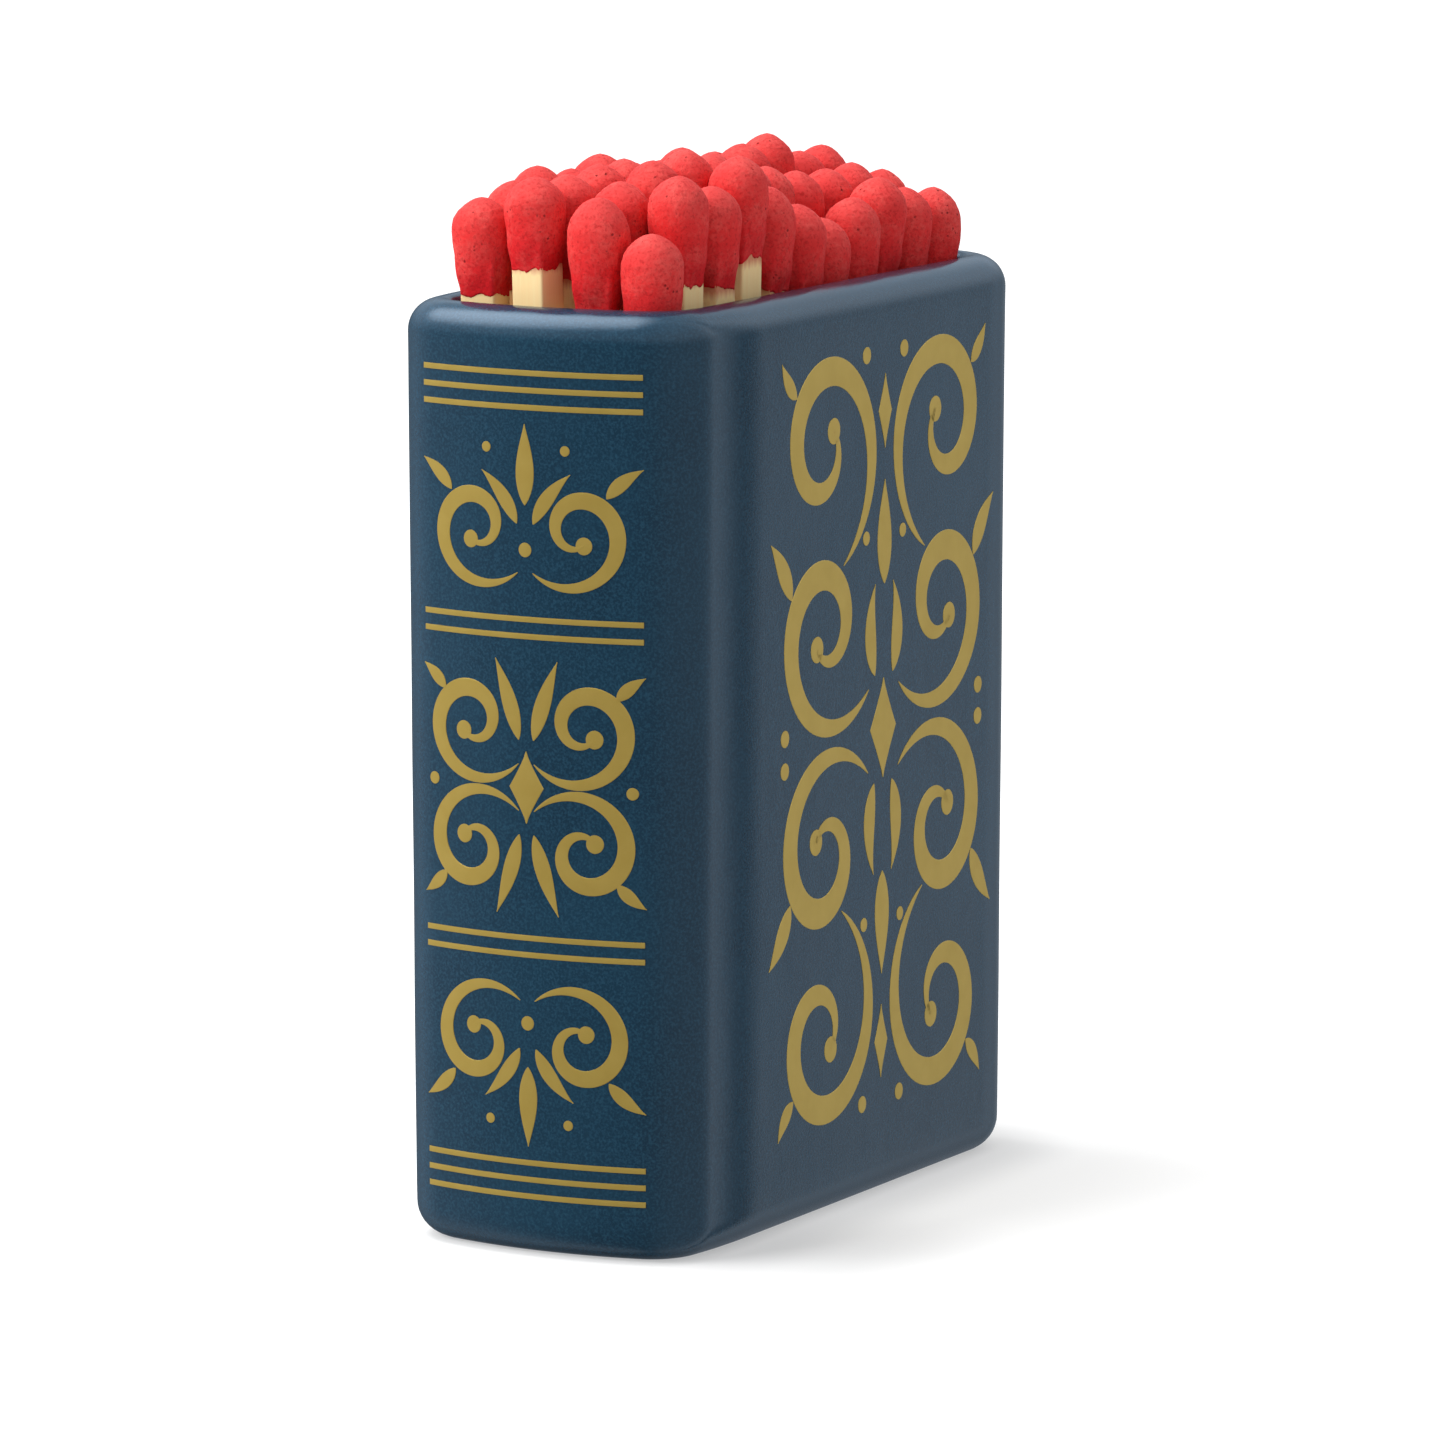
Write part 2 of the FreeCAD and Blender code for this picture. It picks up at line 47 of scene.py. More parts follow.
def linear(hexCode):  # sRGB hex to the linear colour that shaders take
    channels = [int(hexCode[i:i + 2], 16) / 255 for i in (1, 3, 5)]
    return tuple(c / 12.92 if c <= 0.04045 else ((c + 0.055) / 1.055) ** 2.4
                 for c in channels) + (1.0,)


def grey(level):
    return (level, level, level, 1.0)


def perMetre(size):  # texture scale for a pattern that repeats about every size mm
    return 1000.0 / size


def addNode(tree, kind, inputs=None, stops=(), **settings):
    node = tree.nodes.new(kind)
    for name, value in settings.items():
        setattr(node, name, value)
    for place, value in (inputs or {}).items():
        if isinstance(value, bpy.types.NodeSocket):
            tree.links.new(value, node.inputs[place])
        else:
            node.inputs[place].default_value = value
    for index, (position, shade) in enumerate(stops):
        ramp = node.color_ramp.elements
        stop = ramp[index] if index < 2 else ramp.new(position)
        stop.position = position
        stop.color = shade
    return node


def newMaterial(name):
    material = bpy.data.materials.new(name)
    material.use_nodes = True
    material.node_tree.nodes.clear()
    return material, material.node_tree


def clamp(share):
    return max(0.0, min(1.0, share))


def ease(share):
    share = clamp(share)
    return share * share * (3 - 2 * share)


def quarterTurn(steps):  # angles from 0 to a right angle
    return [math.pi / 2 * step / steps for step in range(steps + 1)]


def headingOf(turn, rise):  # direction by degrees from the front and above the horizon
    turn, rise = math.radians(turn), math.radians(rise)
    return Vector((math.sin(turn) * math.cos(rise), -math.cos(turn) * math.cos(rise),
                   math.sin(rise)))


def placeObject(name, mesh, material, place=None):
    thing = bpy.data.objects.new(name, mesh)
    bpy.context.scene.collection.objects.link(thing)
    if place is not None:
        thing.matrix_world = place
    mesh.materials.append(material)
    return thing


def skinRings(rings):  # quads between rings of equal count, with a cap at each end
    count = len(rings[0])
    vertices = [point for ring in rings for point in ring]
    faces = []
    for r in range(len(rings) - 1):
        for i in range(count):
            j = (i + 1) % count
            faces.append((r * count + i, r * count + j,
                          (r + 1) * count + j, (r + 1) * count + i))
    faces.append(tuple(range(count - 1, -1, -1)))
    last = (len(rings) - 1) * count
    faces.append(tuple(range(last, last + count)))
    return vertices, faces


def buildMesh(name, vertices, faces, sharpAngle=None):
    mesh = bpy.data.meshes.new(name)
    mesh.from_pydata([Vector(v) for v in vertices], [], faces)
    mesh.validate()
    mesh.polygons.foreach_set("use_smooth", [True] * len(mesh.polygons))
    if sharpAngle is not None:
        mesh.set_sharp_from_angle(angle=math.radians(sharpAngle))
    mesh.update()
    return mesh


def faceOutwards(mesh):
    bm = bmesh.new()
    bm.from_mesh(mesh)
    bmesh.ops.recalc_face_normals(bm, faces=bm.faces)
    bm.to_mesh(mesh)
    bm.free()


def floatAttribute(mesh, name, values):
    attribute = mesh.attributes.new(name, "FLOAT", "POINT")
    attribute.data.foreach_set("value", values)


view = {
    "azimuth": 28.365,          # to the right of straight in front of the spine
    "elevation": 8.683,
    "distance": 869.65,
    "target": (0.29, 1.72, 47.09),
    "lens": 217.2,
    "sensor": 36.0,
    "clip": (50.0, 50000.0),
}

target = Vector(view["target"]) * mm
toCamera = headingOf(view["azimuth"], view["elevation"])
cameraData = bpy.data.cameras.new("camera")
cameraData.lens = view["lens"]
cameraData.sensor_width = view["sensor"]
cameraData.clip_start, cameraData.clip_end = (reach * mm for reach in view["clip"])
cameraObject = bpy.data.objects.new("camera", cameraData)
bpy.context.scene.collection.objects.link(cameraObject)
cameraObject.location = target + toCamera * view["distance"] * mm
cameraObject.rotation_euler = (-toCamera).to_track_quat("-Z", "Y").to_euler()
bpy.context.scene.camera = cameraObject
bpy.context.scene.view_settings.view_transform = "Standard"

studio = {
    "floorSize": 8000.0,
    "floorColour": "#c2c2c2",
    "windowTint": "#ddedff",    # daylight in the glaze
    "baseLift": 0.45,           # added where the camera sees the floor beside the book, least next to the foot, which paints shade there over the real shadow, more a little away from it and most beyond the lamps' light, so that it is white
    "nearLift": 0.60,           # a little away from it
    "farLift": 0.75,            # and beyond the lamps' light, so that it is white
    "nearEdge": 9.0,
    "farEdge": 500.0,
    "footprint": (8.3, 28.6, 0.0),    # half the book each way, less its rounded corners
    "footprintRadius": 9.0,
    "shade": 0.22,              # painted shadow: less lift in a soft patch off the right of the spine
    "shadeMiddle": (27.0, -24.0, 0.0),
    "shadeReach": (18.0, 26.0, 1.0),
    "ambient": 0.7,             # world light on matt surfaces
    "glossScale": 3.0,          # no level round about is over this
    "ceiling": 0.8,             # added to what glossy surfaces see above them
    "ceilingFrom": -0.02,       # sine of the height where it begins
    "ceilingFull": 0.45,
    "skylight": 6.6,            # added in a soft round patch high on the left
    "skylightAt": (-72.0, 60.0),
    "skylightEdge": 0.8,        # cosine of the patch's reach
}
# What glossy surfaces see round about, by degrees from straight in front of the spine and
# to the right: dim in front and at the back, pale walls on both sides, and behind on the
# right two bright strips either side of a dark gap
surroundings = (
    (-180, 0.4), (-138, 0.16), (-116, 0.32), (-95, 0.7), (-69, 0.86), (-54, 0.7),
    (-30, 0.34), (-9, 0.26), (26, 0.36), (55, 0.6), (86, 0.72), (103, 0.7), (118, 0.75),
    (130, 1.1), (137.5, 1.9), (139.5, 0.0), (144.5, 0.0), (148.5, 0.45), (151.5, 0.7),
    (153.6, 1.1), (160, 0.7), (172, 0.42), (180, 0.4),
)

lamps = (
    # name, watts, width, height, azimuth from the front, elevation, distance
    ("overheadSoftbox", 5.0, 420.0, 420.0, -78.0, 68.0, 820.0),
    ("frontSoftbox", 5.9, 480.0, 480.0, -38.0, 32.0, 950.0),
)


def glossSurroundings(tree, vector):  # level that a glossy surface sees in a direction
    split = addNode(tree, "ShaderNodeSeparateXYZ", {0: vector})
    front = addNode(tree, "ShaderNodeMath", {0: split.outputs["Y"], 1: -1.0},
                    operation="MULTIPLY")
    turn = addNode(tree, "ShaderNodeMath", {0: split.outputs["X"], 1: front.outputs[0]},
                   operation="ARCTAN2")
    share = addNode(tree, "ShaderNodeMapRange", {
        "Value": turn.outputs[0], "From Min": -math.pi, "From Max": math.pi})
    scale = studio["glossScale"]
    level = addNode(tree, "ShaderNodeValToRGB", {"Fac": share.outputs[0]}, stops=[
        ((degrees + 180) / 360, grey(value / scale)) for degrees, value in surroundings])
    above = addNode(tree, "ShaderNodeMapRange", {
        "Value": split.outputs["Z"], "From Min": studio["ceilingFrom"],
        "From Max": studio["ceilingFull"], "To Max": studio["ceiling"]},
        interpolation_type="SMOOTHSTEP")
    wall = addNode(tree, "ShaderNodeMath", {
        0: level.outputs["Color"], 1: scale, 2: above.outputs[0]}, operation="MULTIPLY_ADD")
    towards = addNode(tree, "ShaderNodeVectorMath", {
        0: vector, 1: headingOf(*studio["skylightAt"])}, operation="DOT_PRODUCT")
    patch = addNode(tree, "ShaderNodeMapRange", {
        "Value": towards.outputs["Value"], "From Min": studio["skylightEdge"],
        "To Max": studio["skylight"]}, interpolation_type="SMOOTHSTEP")
    return addNode(tree, "ShaderNodeMath", {0: wall.outputs[0], 1: patch.outputs[0]}).outputs[0]


# White paper under the book: the camera sees it lifted to white away from the foot, and less
# lifted next to the foot and in a soft patch off the right of the spine, as painted shade over
# the real shadow. Glossy rays pass it, so that the glaze sees the surroundings below the
# horizon too
floorMaterial, tree = newMaterial("matt white paper")
path = addNode(tree, "ShaderNodeLightPath")
spot = addNode(tree, "ShaderNodeTexCoord").outputs["Object"]
folded = addNode(tree, "ShaderNodeVectorMath", {0: spot}, operation="ABSOLUTE")
beyond = addNode(tree, "ShaderNodeVectorMath", {
    0: folded.outputs[0], 1: [side * mm for side in studio["footprint"]]},
    operation="SUBTRACT")
outside = addNode(tree, "ShaderNodeVectorMath", {0: beyond.outputs[0], 1: (0.0, 0.0, 0.0)},
                  operation="MAXIMUM")
away = addNode(tree, "ShaderNodeVectorMath", {0: outside.outputs[0]}, operation="LENGTH")
# Least lift next to the foot: painted shade on the floor over the real shadow
near = addNode(tree, "ShaderNodeMapRange", {
    "Value": away.outputs["Value"], "From Min": studio["footprintRadius"] * mm,
    "From Max": (studio["footprintRadius"] + studio["nearEdge"]) * mm,
    "To Min": studio["baseLift"], "To Max": studio["nearLift"]},
    interpolation_type="SMOOTHSTEP")
far = addNode(tree, "ShaderNodeMapRange", {
    "Value": away.outputs["Value"], "From Min": 0.0, "From Max": studio["farEdge"] * mm,
    "To Max": studio["farLift"] - studio["nearLift"]}, interpolation_type="SMOOTHSTEP")
# Painted shadow: the lift is less in a soft patch off the right of the spine
shadePatch = addNode(tree, "ShaderNodeMapping", {
    "Vector": spot, "Location": [side * mm for side in studio["shadeMiddle"]],
    "Scale": [side * mm for side in studio["shadeReach"]]}, vector_type="TEXTURE")
shadeReach = addNode(tree, "ShaderNodeVectorMath", {0: shadePatch.outputs[0]},
                     operation="LENGTH")
shade = addNode(tree, "ShaderNodeMapRange", {
    "Value": shadeReach.outputs["Value"], "To Min": -studio["shade"], "To Max": 0.0},
    interpolation_type="SMOOTHSTEP")
unshaded = addNode(tree, "ShaderNodeMath", {0: near.outputs[0], 1: far.outputs[0]})
lift = addNode(tree, "ShaderNodeMath", {0: unshaded.outputs[0], 1: shade.outputs[0]})
seenLift = addNode(tree, "ShaderNodeMath", {
    0: path.outputs["Is Camera Ray"], 1: lift.outputs[0]}, operation="MULTIPLY")
paper = addNode(tree, "ShaderNodeBsdfDiffuse", {"Color": linear(studio["floorColour"])})
glow = addNode(tree, "ShaderNodeEmission", {"Strength": seenLift.outputs[0]})
lit = addNode(tree, "ShaderNodeAddShader", {0: paper.outputs[0], 1: glow.outputs[0]})
passed = addNode(tree, "ShaderNodeBsdfTransparent")
either = addNode(tree, "ShaderNodeMixShader", {
    0: path.outputs["Is Glossy Ray"], 1: lit.outputs[0], 2: passed.outputs[0]})
addNode(tree, "ShaderNodeOutputMaterial", {"Surface": either.outputs[0]})

reach = studio["floorSize"] / 2 * mm
floorMesh = buildMesh("floor", [(-reach, -reach, 0), (reach, -reach, 0), (reach, reach, 0),
                                (-reach, reach, 0)], [(0, 1, 2, 3)])
floorObject = placeObject("floor", floorMesh, floorMaterial)

world = bpy.data.worlds.new("studio")
bpy.context.scene.world = world
world.use_nodes = True
tree = world.node_tree
tree.nodes.clear()
path = addNode(tree, "ShaderNodeLightPath")
direction = addNode(tree, "ShaderNodeTexCoord").outputs["Generated"]
glossy = addNode(tree, "ShaderNodeMix", {
    0: path.outputs["Is Glossy Ray"], 2: studio["ambient"],
    3: glossSurroundings(tree, direction)})
shown = addNode(tree, "ShaderNodeMix", {
    0: path.outputs["Is Camera Ray"], 2: glossy.outputs[0], 3: 1.0})
tint = addNode(tree, "ShaderNodeMix", {
    0: path.outputs["Is Glossy Ray"], 6: grey(1.0), 7: linear(studio["windowTint"])},
    data_type="RGBA")
sky = addNode(tree, "ShaderNodeBackground", {
    "Color": tint.outputs[2], "Strength": shown.outputs[0]})
addNode(tree, "ShaderNodeOutputWorld", {"Surface": sky.outputs[0]})

for name, watts, width, height, turn, rise, distance in lamps:
    lampData = bpy.data.lights.new(name, "AREA")
    lampData.shape = "RECTANGLE"
    lampData.size = width * mm
    lampData.size_y = height * mm
    lampData.energy = watts
    lamp = bpy.data.objects.new(name, lampData)
    lamp.visible_glossy = False  # the glaze sees the surroundings instead
    bpy.context.scene.collection.objects.link(lamp)
    toLamp = headingOf(turn, rise)
    lamp.location = target + toLamp * distance * mm
    lamp.rotation_euler = (-toLamp).to_track_quat("-Z", "Y").to_euler()
print("camera, stage and lamps placed")

vessel = {
    "height": 92.0,
    "thickness": 34.6,
    "depth": 75.2,
    "spineRadius": 45.0,
    "shoulderRadius": 7.6,
    "rollLength": 9.0,          # soft stretch of each cover beside the spine
    "rollRadius": 60.0,
    "cornerRadius": 9.3,
    "draft": 0.27,
    "wall": 4.4,
    "floorThickness": 5.0,
    "floorFillet": 2.4,         # in the cavity
    "cavityRadius": 4.0,
    "cavityWallFoot": 9.0,      # where the even rings of the cavity's wall end
    "rimOuter": 3.1,
    "rimInner": 1.0,
    "baseRadius": 3.4,
    "footInset": 6.6,
    "footRecess": 1.0,
    "footBevel": (0.3, 0.35),   # out and up, at the recess's edge
    "wobble": 0.05,             # how far the cast wall strays
    "wobbleSize": 19.0,
    # steps along half the outline, from the middle of the spine to that of the fore-edge
    "outlineSteps": {"spine": 26, "shoulder": 24, "roll": 14, "cover": 30, "corner": 14,
                     "foreEdge": 9},
    # steps up the outside, over the rim and down into the cavity
    "baseSteps": 10,
    "wallSteps": 46,
    "rimOuterSteps": 12,
    "rimInnerSteps": 8,
    "cavitySteps": 24,
    "filletSteps": 6,
}


def planOutline(inset, shoulderRadius, cornerRadius, rollTurn):
    # Half the outline, as x and y with the outward direction at each point
    side = vessel["thickness"] / 2 - inset
    back = vessel["depth"] / 2 - inset
    spineRadius = vessel["spineRadius"] - inset
    rollGain = vessel["rollLength"] / rollTurn * (1 - math.cos(rollTurn)) if rollTurn else 0.0
    spineTurn = math.asin((side - rollGain - shoulderRadius * math.cos(rollTurn))
                          / (spineRadius - shoulderRadius))
    shoulderTurn = math.pi / 2 - rollTurn - spineTurn
    x, y, heading = 0.0, -back, 0.0
    points = [(x, y, heading)]
    for stretch, steps in vessel["outlineSteps"].items():
        length, turn = {
            "spine": (spineRadius * spineTurn, spineTurn),
            "shoulder": (shoulderRadius * shoulderTurn, shoulderTurn),
            "roll": (vessel["rollLength"], rollTurn),
            "cover": (back - cornerRadius - y, 0.0),
            "corner": (cornerRadius * math.pi / 2, math.pi / 2),
            "foreEdge": (x, 0.0),
        }[stretch]
        step, bend = length / steps, turn / steps
        chord = step * (math.sin(bend / 2) / (bend / 2) if bend else 1.0)
        for _ in range(steps):
            x += chord * math.cos(heading + bend / 2)
            y += chord * math.sin(heading + bend / 2)
            heading += bend
            points.append((x, y, heading))
    return [(x, y, math.sin(h), -math.cos(h)) for x, y, h in points]


def wholeOutline(half):
    return half + [(-x, y, -nx, ny) for x, y, nx, ny in half[-2:0:-1]]


def draftAt(z):
    return math.tan(math.radians(vessel["draft"])) * (vessel["height"] - z)


def wobbleAt(x, y, z):  # always inwards, so that the casting stays inside the solid
    size = vessel["wobbleSize"]
    return vessel["wobble"] * (noise.noise(Vector((x / size, y / size, z / size + 7.3))) - 1.1)


def ringAt(outline, inset, z):
    ring = []
    for x, y, nx, ny in outline:
        out = -inset + wobbleAt(x, y, z)
        ring.append(((x + nx * out) * mm, (y + ny * out) * mm, z * mm))
    return ring


rollTurn = vessel["rollLength"] / vessel["rollRadius"]
outerHalf = planOutline(0.0, vessel["shoulderRadius"], vessel["cornerRadius"], rollTurn)
cavityHalf = planOutline(vessel["wall"], vessel["cavityRadius"], vessel["cavityRadius"], 0.0)
footHalf = planOutline(vessel["footInset"], vessel["baseRadius"], vessel["baseRadius"], 0.0)
outer, cavity, foot = (wholeOutline(half) for half in (outerHalf, cavityHalf, footHalf))

# Rings from the recess under the foot, up the outside and down to the cavity's floor
top = vessel["height"]
bevelOut, bevelUp = vessel["footBevel"]
stations = [(foot, 0.0, vessel["footRecess"], "clay"), (foot, 0.0, bevelUp, "clay"),
            (foot, -bevelOut, 0.0, "clay")]
for angle in quarterTurn(vessel["baseSteps"]):
    inset = vessel["baseRadius"] * (1 - math.sin(angle)) + draftAt(0)
    stations.append((outer, inset, vessel["baseRadius"] * (1 - math.cos(angle)),
                     "glaze" if angle else "clay"))
low, high = vessel["baseRadius"], top - vessel["rimOuter"]
for step in range(1, vessel["wallSteps"]):
    z = low + (high - low) * step / vessel["wallSteps"]
    stations.append((outer, draftAt(z), z, "glaze"))
for angle in quarterTurn(vessel["rimOuterSteps"]):
    inset = vessel["rimOuter"] * (1 - math.cos(angle))
    stations.append((outer, inset, high + vessel["rimOuter"] * math.sin(angle), "glaze"))
for angle in quarterTurn(vessel["rimInnerSteps"]):
    out = vessel["rimInner"] * (1 - math.sin(angle))
    stations.append((cavity, -out, top - vessel["rimInner"] * (1 - math.cos(angle)), "glaze"))
wallTop = top - vessel["rimInner"]
for step in range(1, vessel["cavitySteps"]):
    z = wallTop - (wallTop - vessel["cavityWallFoot"]) * step / vessel["cavitySteps"]
    stations.append((cavity, 0.0, z, "glaze"))
fillet = vessel["floorFillet"]
for angle in quarterTurn(vessel["filletSteps"]):
    z = vessel["floorThickness"] + fillet * (1 - math.sin(angle))
    stations.append((cavity, fillet * (1 - math.cos(angle)), z, "glaze"))

rings = [ringAt(outline, inset, z) for outline, inset, z, coat in stations]
vertices, faces = skinRings(rings)
bodyMesh = buildMesh("bookBody", vertices, faces)
clayRings = sum(coat == "clay" for outline, inset, z, coat in stations) - 1
slots = [0] * len(bodyMesh.polygons)
for index in range(clayRings * len(outer)):
    slots[index] = 1
slots[len(faces) - 2] = 1  # the ceiling of the recess under the foot

glaze = {
    "light": "#0d3043",
    "dark": "#08283a",
    "speck": "#1b4156",
    "mottle": 11.0,
    "grain": 0.26,              # fine crystals, drawn a little coarser than they are
    "peel": 3.5,                # broad waves of the sprayed coat
    "relief": 0.03,
    "roughness": 0.2,
    "ior": 1.5,
    "specular": 0.4,            # the crystals take a little of a clear glaze's mirror
}

# Satin stoneware glaze, sprayed over a slip casting: deep blue with fine crystals that
# soften every reflection and a faint cloudiness where the coat is thicker
glazeMaterial, tree = newMaterial("satin stoneware glaze")
coords = addNode(tree, "ShaderNodeTexCoord").outputs["Object"]
clouds = addNode(tree, "ShaderNodeTexNoise", {
    "Vector": coords, "Detail": 3.0, "Scale": perMetre(glaze["mottle"])})
crystals = addNode(tree, "ShaderNodeTexNoise", {
    "Vector": coords, "Detail": 2.0, "Roughness": 0.6, "Scale": perMetre(glaze["grain"])})
cloudy = addNode(tree, "ShaderNodeValToRGB", {"Fac": clouds.outputs["Fac"]}, stops=(
    (0.3, linear(glaze["dark"])), (0.7, linear(glaze["light"]))))
specks = addNode(tree, "ShaderNodeValToRGB", {"Fac": crystals.outputs["Fac"]}, stops=(
    (0.42, grey(0.0)), (0.7, grey(0.8))))
glazeColour = addNode(tree, "ShaderNodeMix", {
    0: specks.outputs["Color"], 6: cloudy.outputs["Color"], 7: linear(glaze["speck"])},
    data_type="RGBA")
crystalBump = addNode(tree, "ShaderNodeBump", {
    "Height": crystals.outputs["Fac"], "Strength": 0.35, "Distance": glaze["relief"] * mm})
peel = addNode(tree, "ShaderNodeTexNoise", {
    "Vector": coords, "Detail": 1.0, "Scale": perMetre(glaze["peel"])})
peelBump = addNode(tree, "ShaderNodeBump", {
    "Height": peel.outputs["Fac"], "Strength": 0.5, "Distance": glaze["relief"] * mm,
    "Normal": crystalBump.outputs[0]})
glazed = addNode(tree, "ShaderNodeBsdfPrincipled", {
    "Base Color": glazeColour.outputs[2], "Roughness": glaze["roughness"],
    "IOR": glaze["ior"], "Specular IOR Level": glaze["specular"],
    "Normal": peelBump.outputs[0]})
addNode(tree, "ShaderNodeOutputMaterial", {"Surface": glazed.outputs[0]})

clay = {
    "dark": "#c9b9a2",
    "light": "#e2d6c3",
    "sand": 0.6,
    "relief": 0.08,
    "roughness": 0.85,
}

# Bare stoneware, wiped clean of glaze before firing: matt, pale and slightly sandy
clayMaterial, tree = newMaterial("bare stoneware")
coords = addNode(tree, "ShaderNodeTexCoord").outputs["Object"]
sand = addNode(tree, "ShaderNodeTexNoise", {
    "Vector": coords, "Scale": perMetre(clay["sand"]), "Detail": 4.0})
clayColour = addNode(tree, "ShaderNodeValToRGB", {"Fac": sand.outputs["Fac"]}, stops=(
    (0.3, linear(clay["dark"])), (0.7, linear(clay["light"]))))
clayBump = addNode(tree, "ShaderNodeBump", {
    "Height": sand.outputs["Fac"], "Strength": 0.6, "Distance": clay["relief"] * mm})
bare = addNode(tree, "ShaderNodeBsdfPrincipled", {
    "Base Color": clayColour.outputs["Color"], "Roughness": clay["roughness"],
    "Normal": clayBump.outputs[0]})
addNode(tree, "ShaderNodeOutputMaterial", {"Surface": bare.outputs[0]})

bookBody = placeObject("bookBody", bodyMesh, glazeMaterial)
bodyMesh.materials.append(clayMaterial)
bodyMesh.polygons.foreach_set("material_index", slots)

strip = {
    "width": 20.0,
    "length": 66.0,
    "thickness": 0.8,
    "cornerRadius": 1.5,
    "clearance": 0.15,
    "lift": 0.01,               # off the floor of its recess
    "cutterReach": 2.0,         # of the tool that cuts the recess, out of the fore-edge
    "grit": 0.09,               # height of the abrasive grains
    "gritSize": 0.45,
    "edgePower": 24,            # the higher, the narrower the bare edge
    "columns": 74,
    "rows": 244,
}
lean = Matrix.Rotation(math.radians(-vessel["draft"]), 4, "X")
foreEdge = Matrix.Translation(Vector((0, vessel["depth"] / 2, vessel["height"])) * mm) @ lean


def roundedRectangle(width, length, radius, steps=6):  # in the fore-edge's plane, x and z
    middle = -vessel["height"] / 2
    points = []
    for cornerX, cornerZ, start in ((1, -1, 270), (1, 1, 0), (-1, 1, 90), (-1, -1, 180)):
        for step in range(steps + 1):
            angle = math.radians(start + 90 * step / steps)
            points.append((cornerX * (width / 2 - radius) + radius * math.cos(angle),
                           middle + cornerZ * (length / 2 - radius) + radius * math.sin(angle)))
    return points


gap = strip["clearance"]
recess = roundedRectangle(strip["width"] + 2 * gap, strip["length"] + 2 * gap,
                          strip["cornerRadius"] + gap)
cutRings = [[(x * mm, y * mm, z * mm) for x, z in recess]
            for y in (-strip["thickness"], strip["cutterReach"])]
cutMesh = buildMesh("recessCutter", *skinRings(cutRings))
faceOutwards(cutMesh)
cutter = placeObject("recessCutter", cutMesh, glazeMaterial, foreEdge)
cut = bookBody.modifiers.new("stripRecess", "BOOLEAN")
cut.operation = "DIFFERENCE"
cut.solver = "EXACT"
cut.object = cutter
bpy.context.view_layer.update()
graph = bpy.context.evaluated_depsgraph_get()
bodyMesh = bpy.data.meshes.new_from_object(bookBody.evaluated_get(graph))
bookBody.modifiers.clear()
bookBody.data = bodyMesh
bpy.data.objects.remove(cutter)
bodyMesh.set_sharp_from_angle(angle=math.radians(40))
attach(bookBody, "root")
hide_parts("book_body")
print("vessel cast and glazed:", len(bodyMesh.polygons), "faces")

grit = {
    "dark": "#271c1a",
    "light": "#664b42",
    "struck": "#8d6458",
    "grain": 0.4,               # several real grains in one, so that they show
    "streak": (0.7, 0.7, 16.0),    # across, through and along the strip
    "relief": 0.1,
    "roughness": 0.82,
}

# Abrasive strip: glass grit and red phosphorus in a brown binder on card. It looks like
# worn fine sandpaper, with paler streaks where matches were struck
gritMaterial, tree = newMaterial("phosphorus striking grit")
coords = addNode(tree, "ShaderNodeTexCoord").outputs["Object"]
grains = addNode(tree, "ShaderNodeTexNoise", {
    "Vector": coords, "Scale": perMetre(grit["grain"]), "Detail": 3.0})
longWays = addNode(tree, "ShaderNodeMapping", {
    "Vector": coords, "Scale": [perMetre(size) for size in grit["streak"]]})
streaks = addNode(tree, "ShaderNodeTexNoise", {
    "Vector": longWays.outputs[0], "Scale": 1.0, "Detail": 4.0})
gritColour = addNode(tree, "ShaderNodeValToRGB", {"Fac": grains.outputs["Fac"]}, stops=(
    (0.3, linear(grit["dark"])), (0.72, linear(grit["light"]))))
worn = addNode(tree, "ShaderNodeValToRGB", {"Fac": streaks.outputs["Fac"]}, stops=(
    (0.6, grey(0.0)), (0.85, grey(0.3))))
gritMix = addNode(tree, "ShaderNodeMix", {
    0: worn.outputs["Color"], 6: gritColour.outputs["Color"], 7: linear(grit["struck"])},
    data_type="RGBA")
gritBump = addNode(tree, "ShaderNodeBump", {
    "Height": grains.outputs["Fac"], "Strength": 0.8, "Distance": grit["relief"] * mm})
gritty = addNode(tree, "ShaderNodeBsdfPrincipled", {
    "Base Color": gritMix.outputs[2], "Roughness": grit["roughness"],
    "Normal": gritBump.outputs[0]})
addNode(tree, "ShaderNodeOutputMaterial", {"Surface": gritty.outputs[0]})

columns, rows = strip["columns"], strip["rows"]
stripVertices, stripFaces = [], []
for layer in ("back", "face"):
    for r in range(rows + 1):
        for c in range(columns + 1):
            u, v = 2 * c / columns - 1, 2 * r / rows - 1
            x, z = u * strip["width"] / 2, v * strip["length"] / 2
            overX = abs(x) - (strip["width"] / 2 - strip["cornerRadius"])
            overZ = abs(z) - (strip["length"] / 2 - strip["cornerRadius"])
            if overX > 0 and overZ > 0:  # draws the square grid in to the rounded corner
                shrink = max(overX, overZ) / math.hypot(overX, overZ)
                x -= math.copysign(overX * (1 - shrink), x)
                z -= math.copysign(overZ * (1 - shrink), z)
            depth = -strip["thickness"] + strip["lift"]
            if layer == "face":
                inside = 1 - max(abs(u), abs(v)) ** strip["edgePower"]
                spot = Vector((x / strip["gritSize"], z / strip["gritSize"], 3.0))
                depth = -strip["grit"] * (1 - inside * clamp(0.55 + 0.8 * noise.noise(spot)))
            stripVertices.append(foreEdge @ Vector((x * mm, depth * mm,
                                                    (z - vessel["height"] / 2) * mm)))
across = columns + 1
above = (rows + 1) * across
for r in range(rows):
    for c in range(columns):
        first = r * across + c
        square = (first, first + 1, first + across + 1, first + across)
        stripFaces.append(square)
        stripFaces.append(tuple(above + i for i in reversed(square)))
border = list(range(columns))
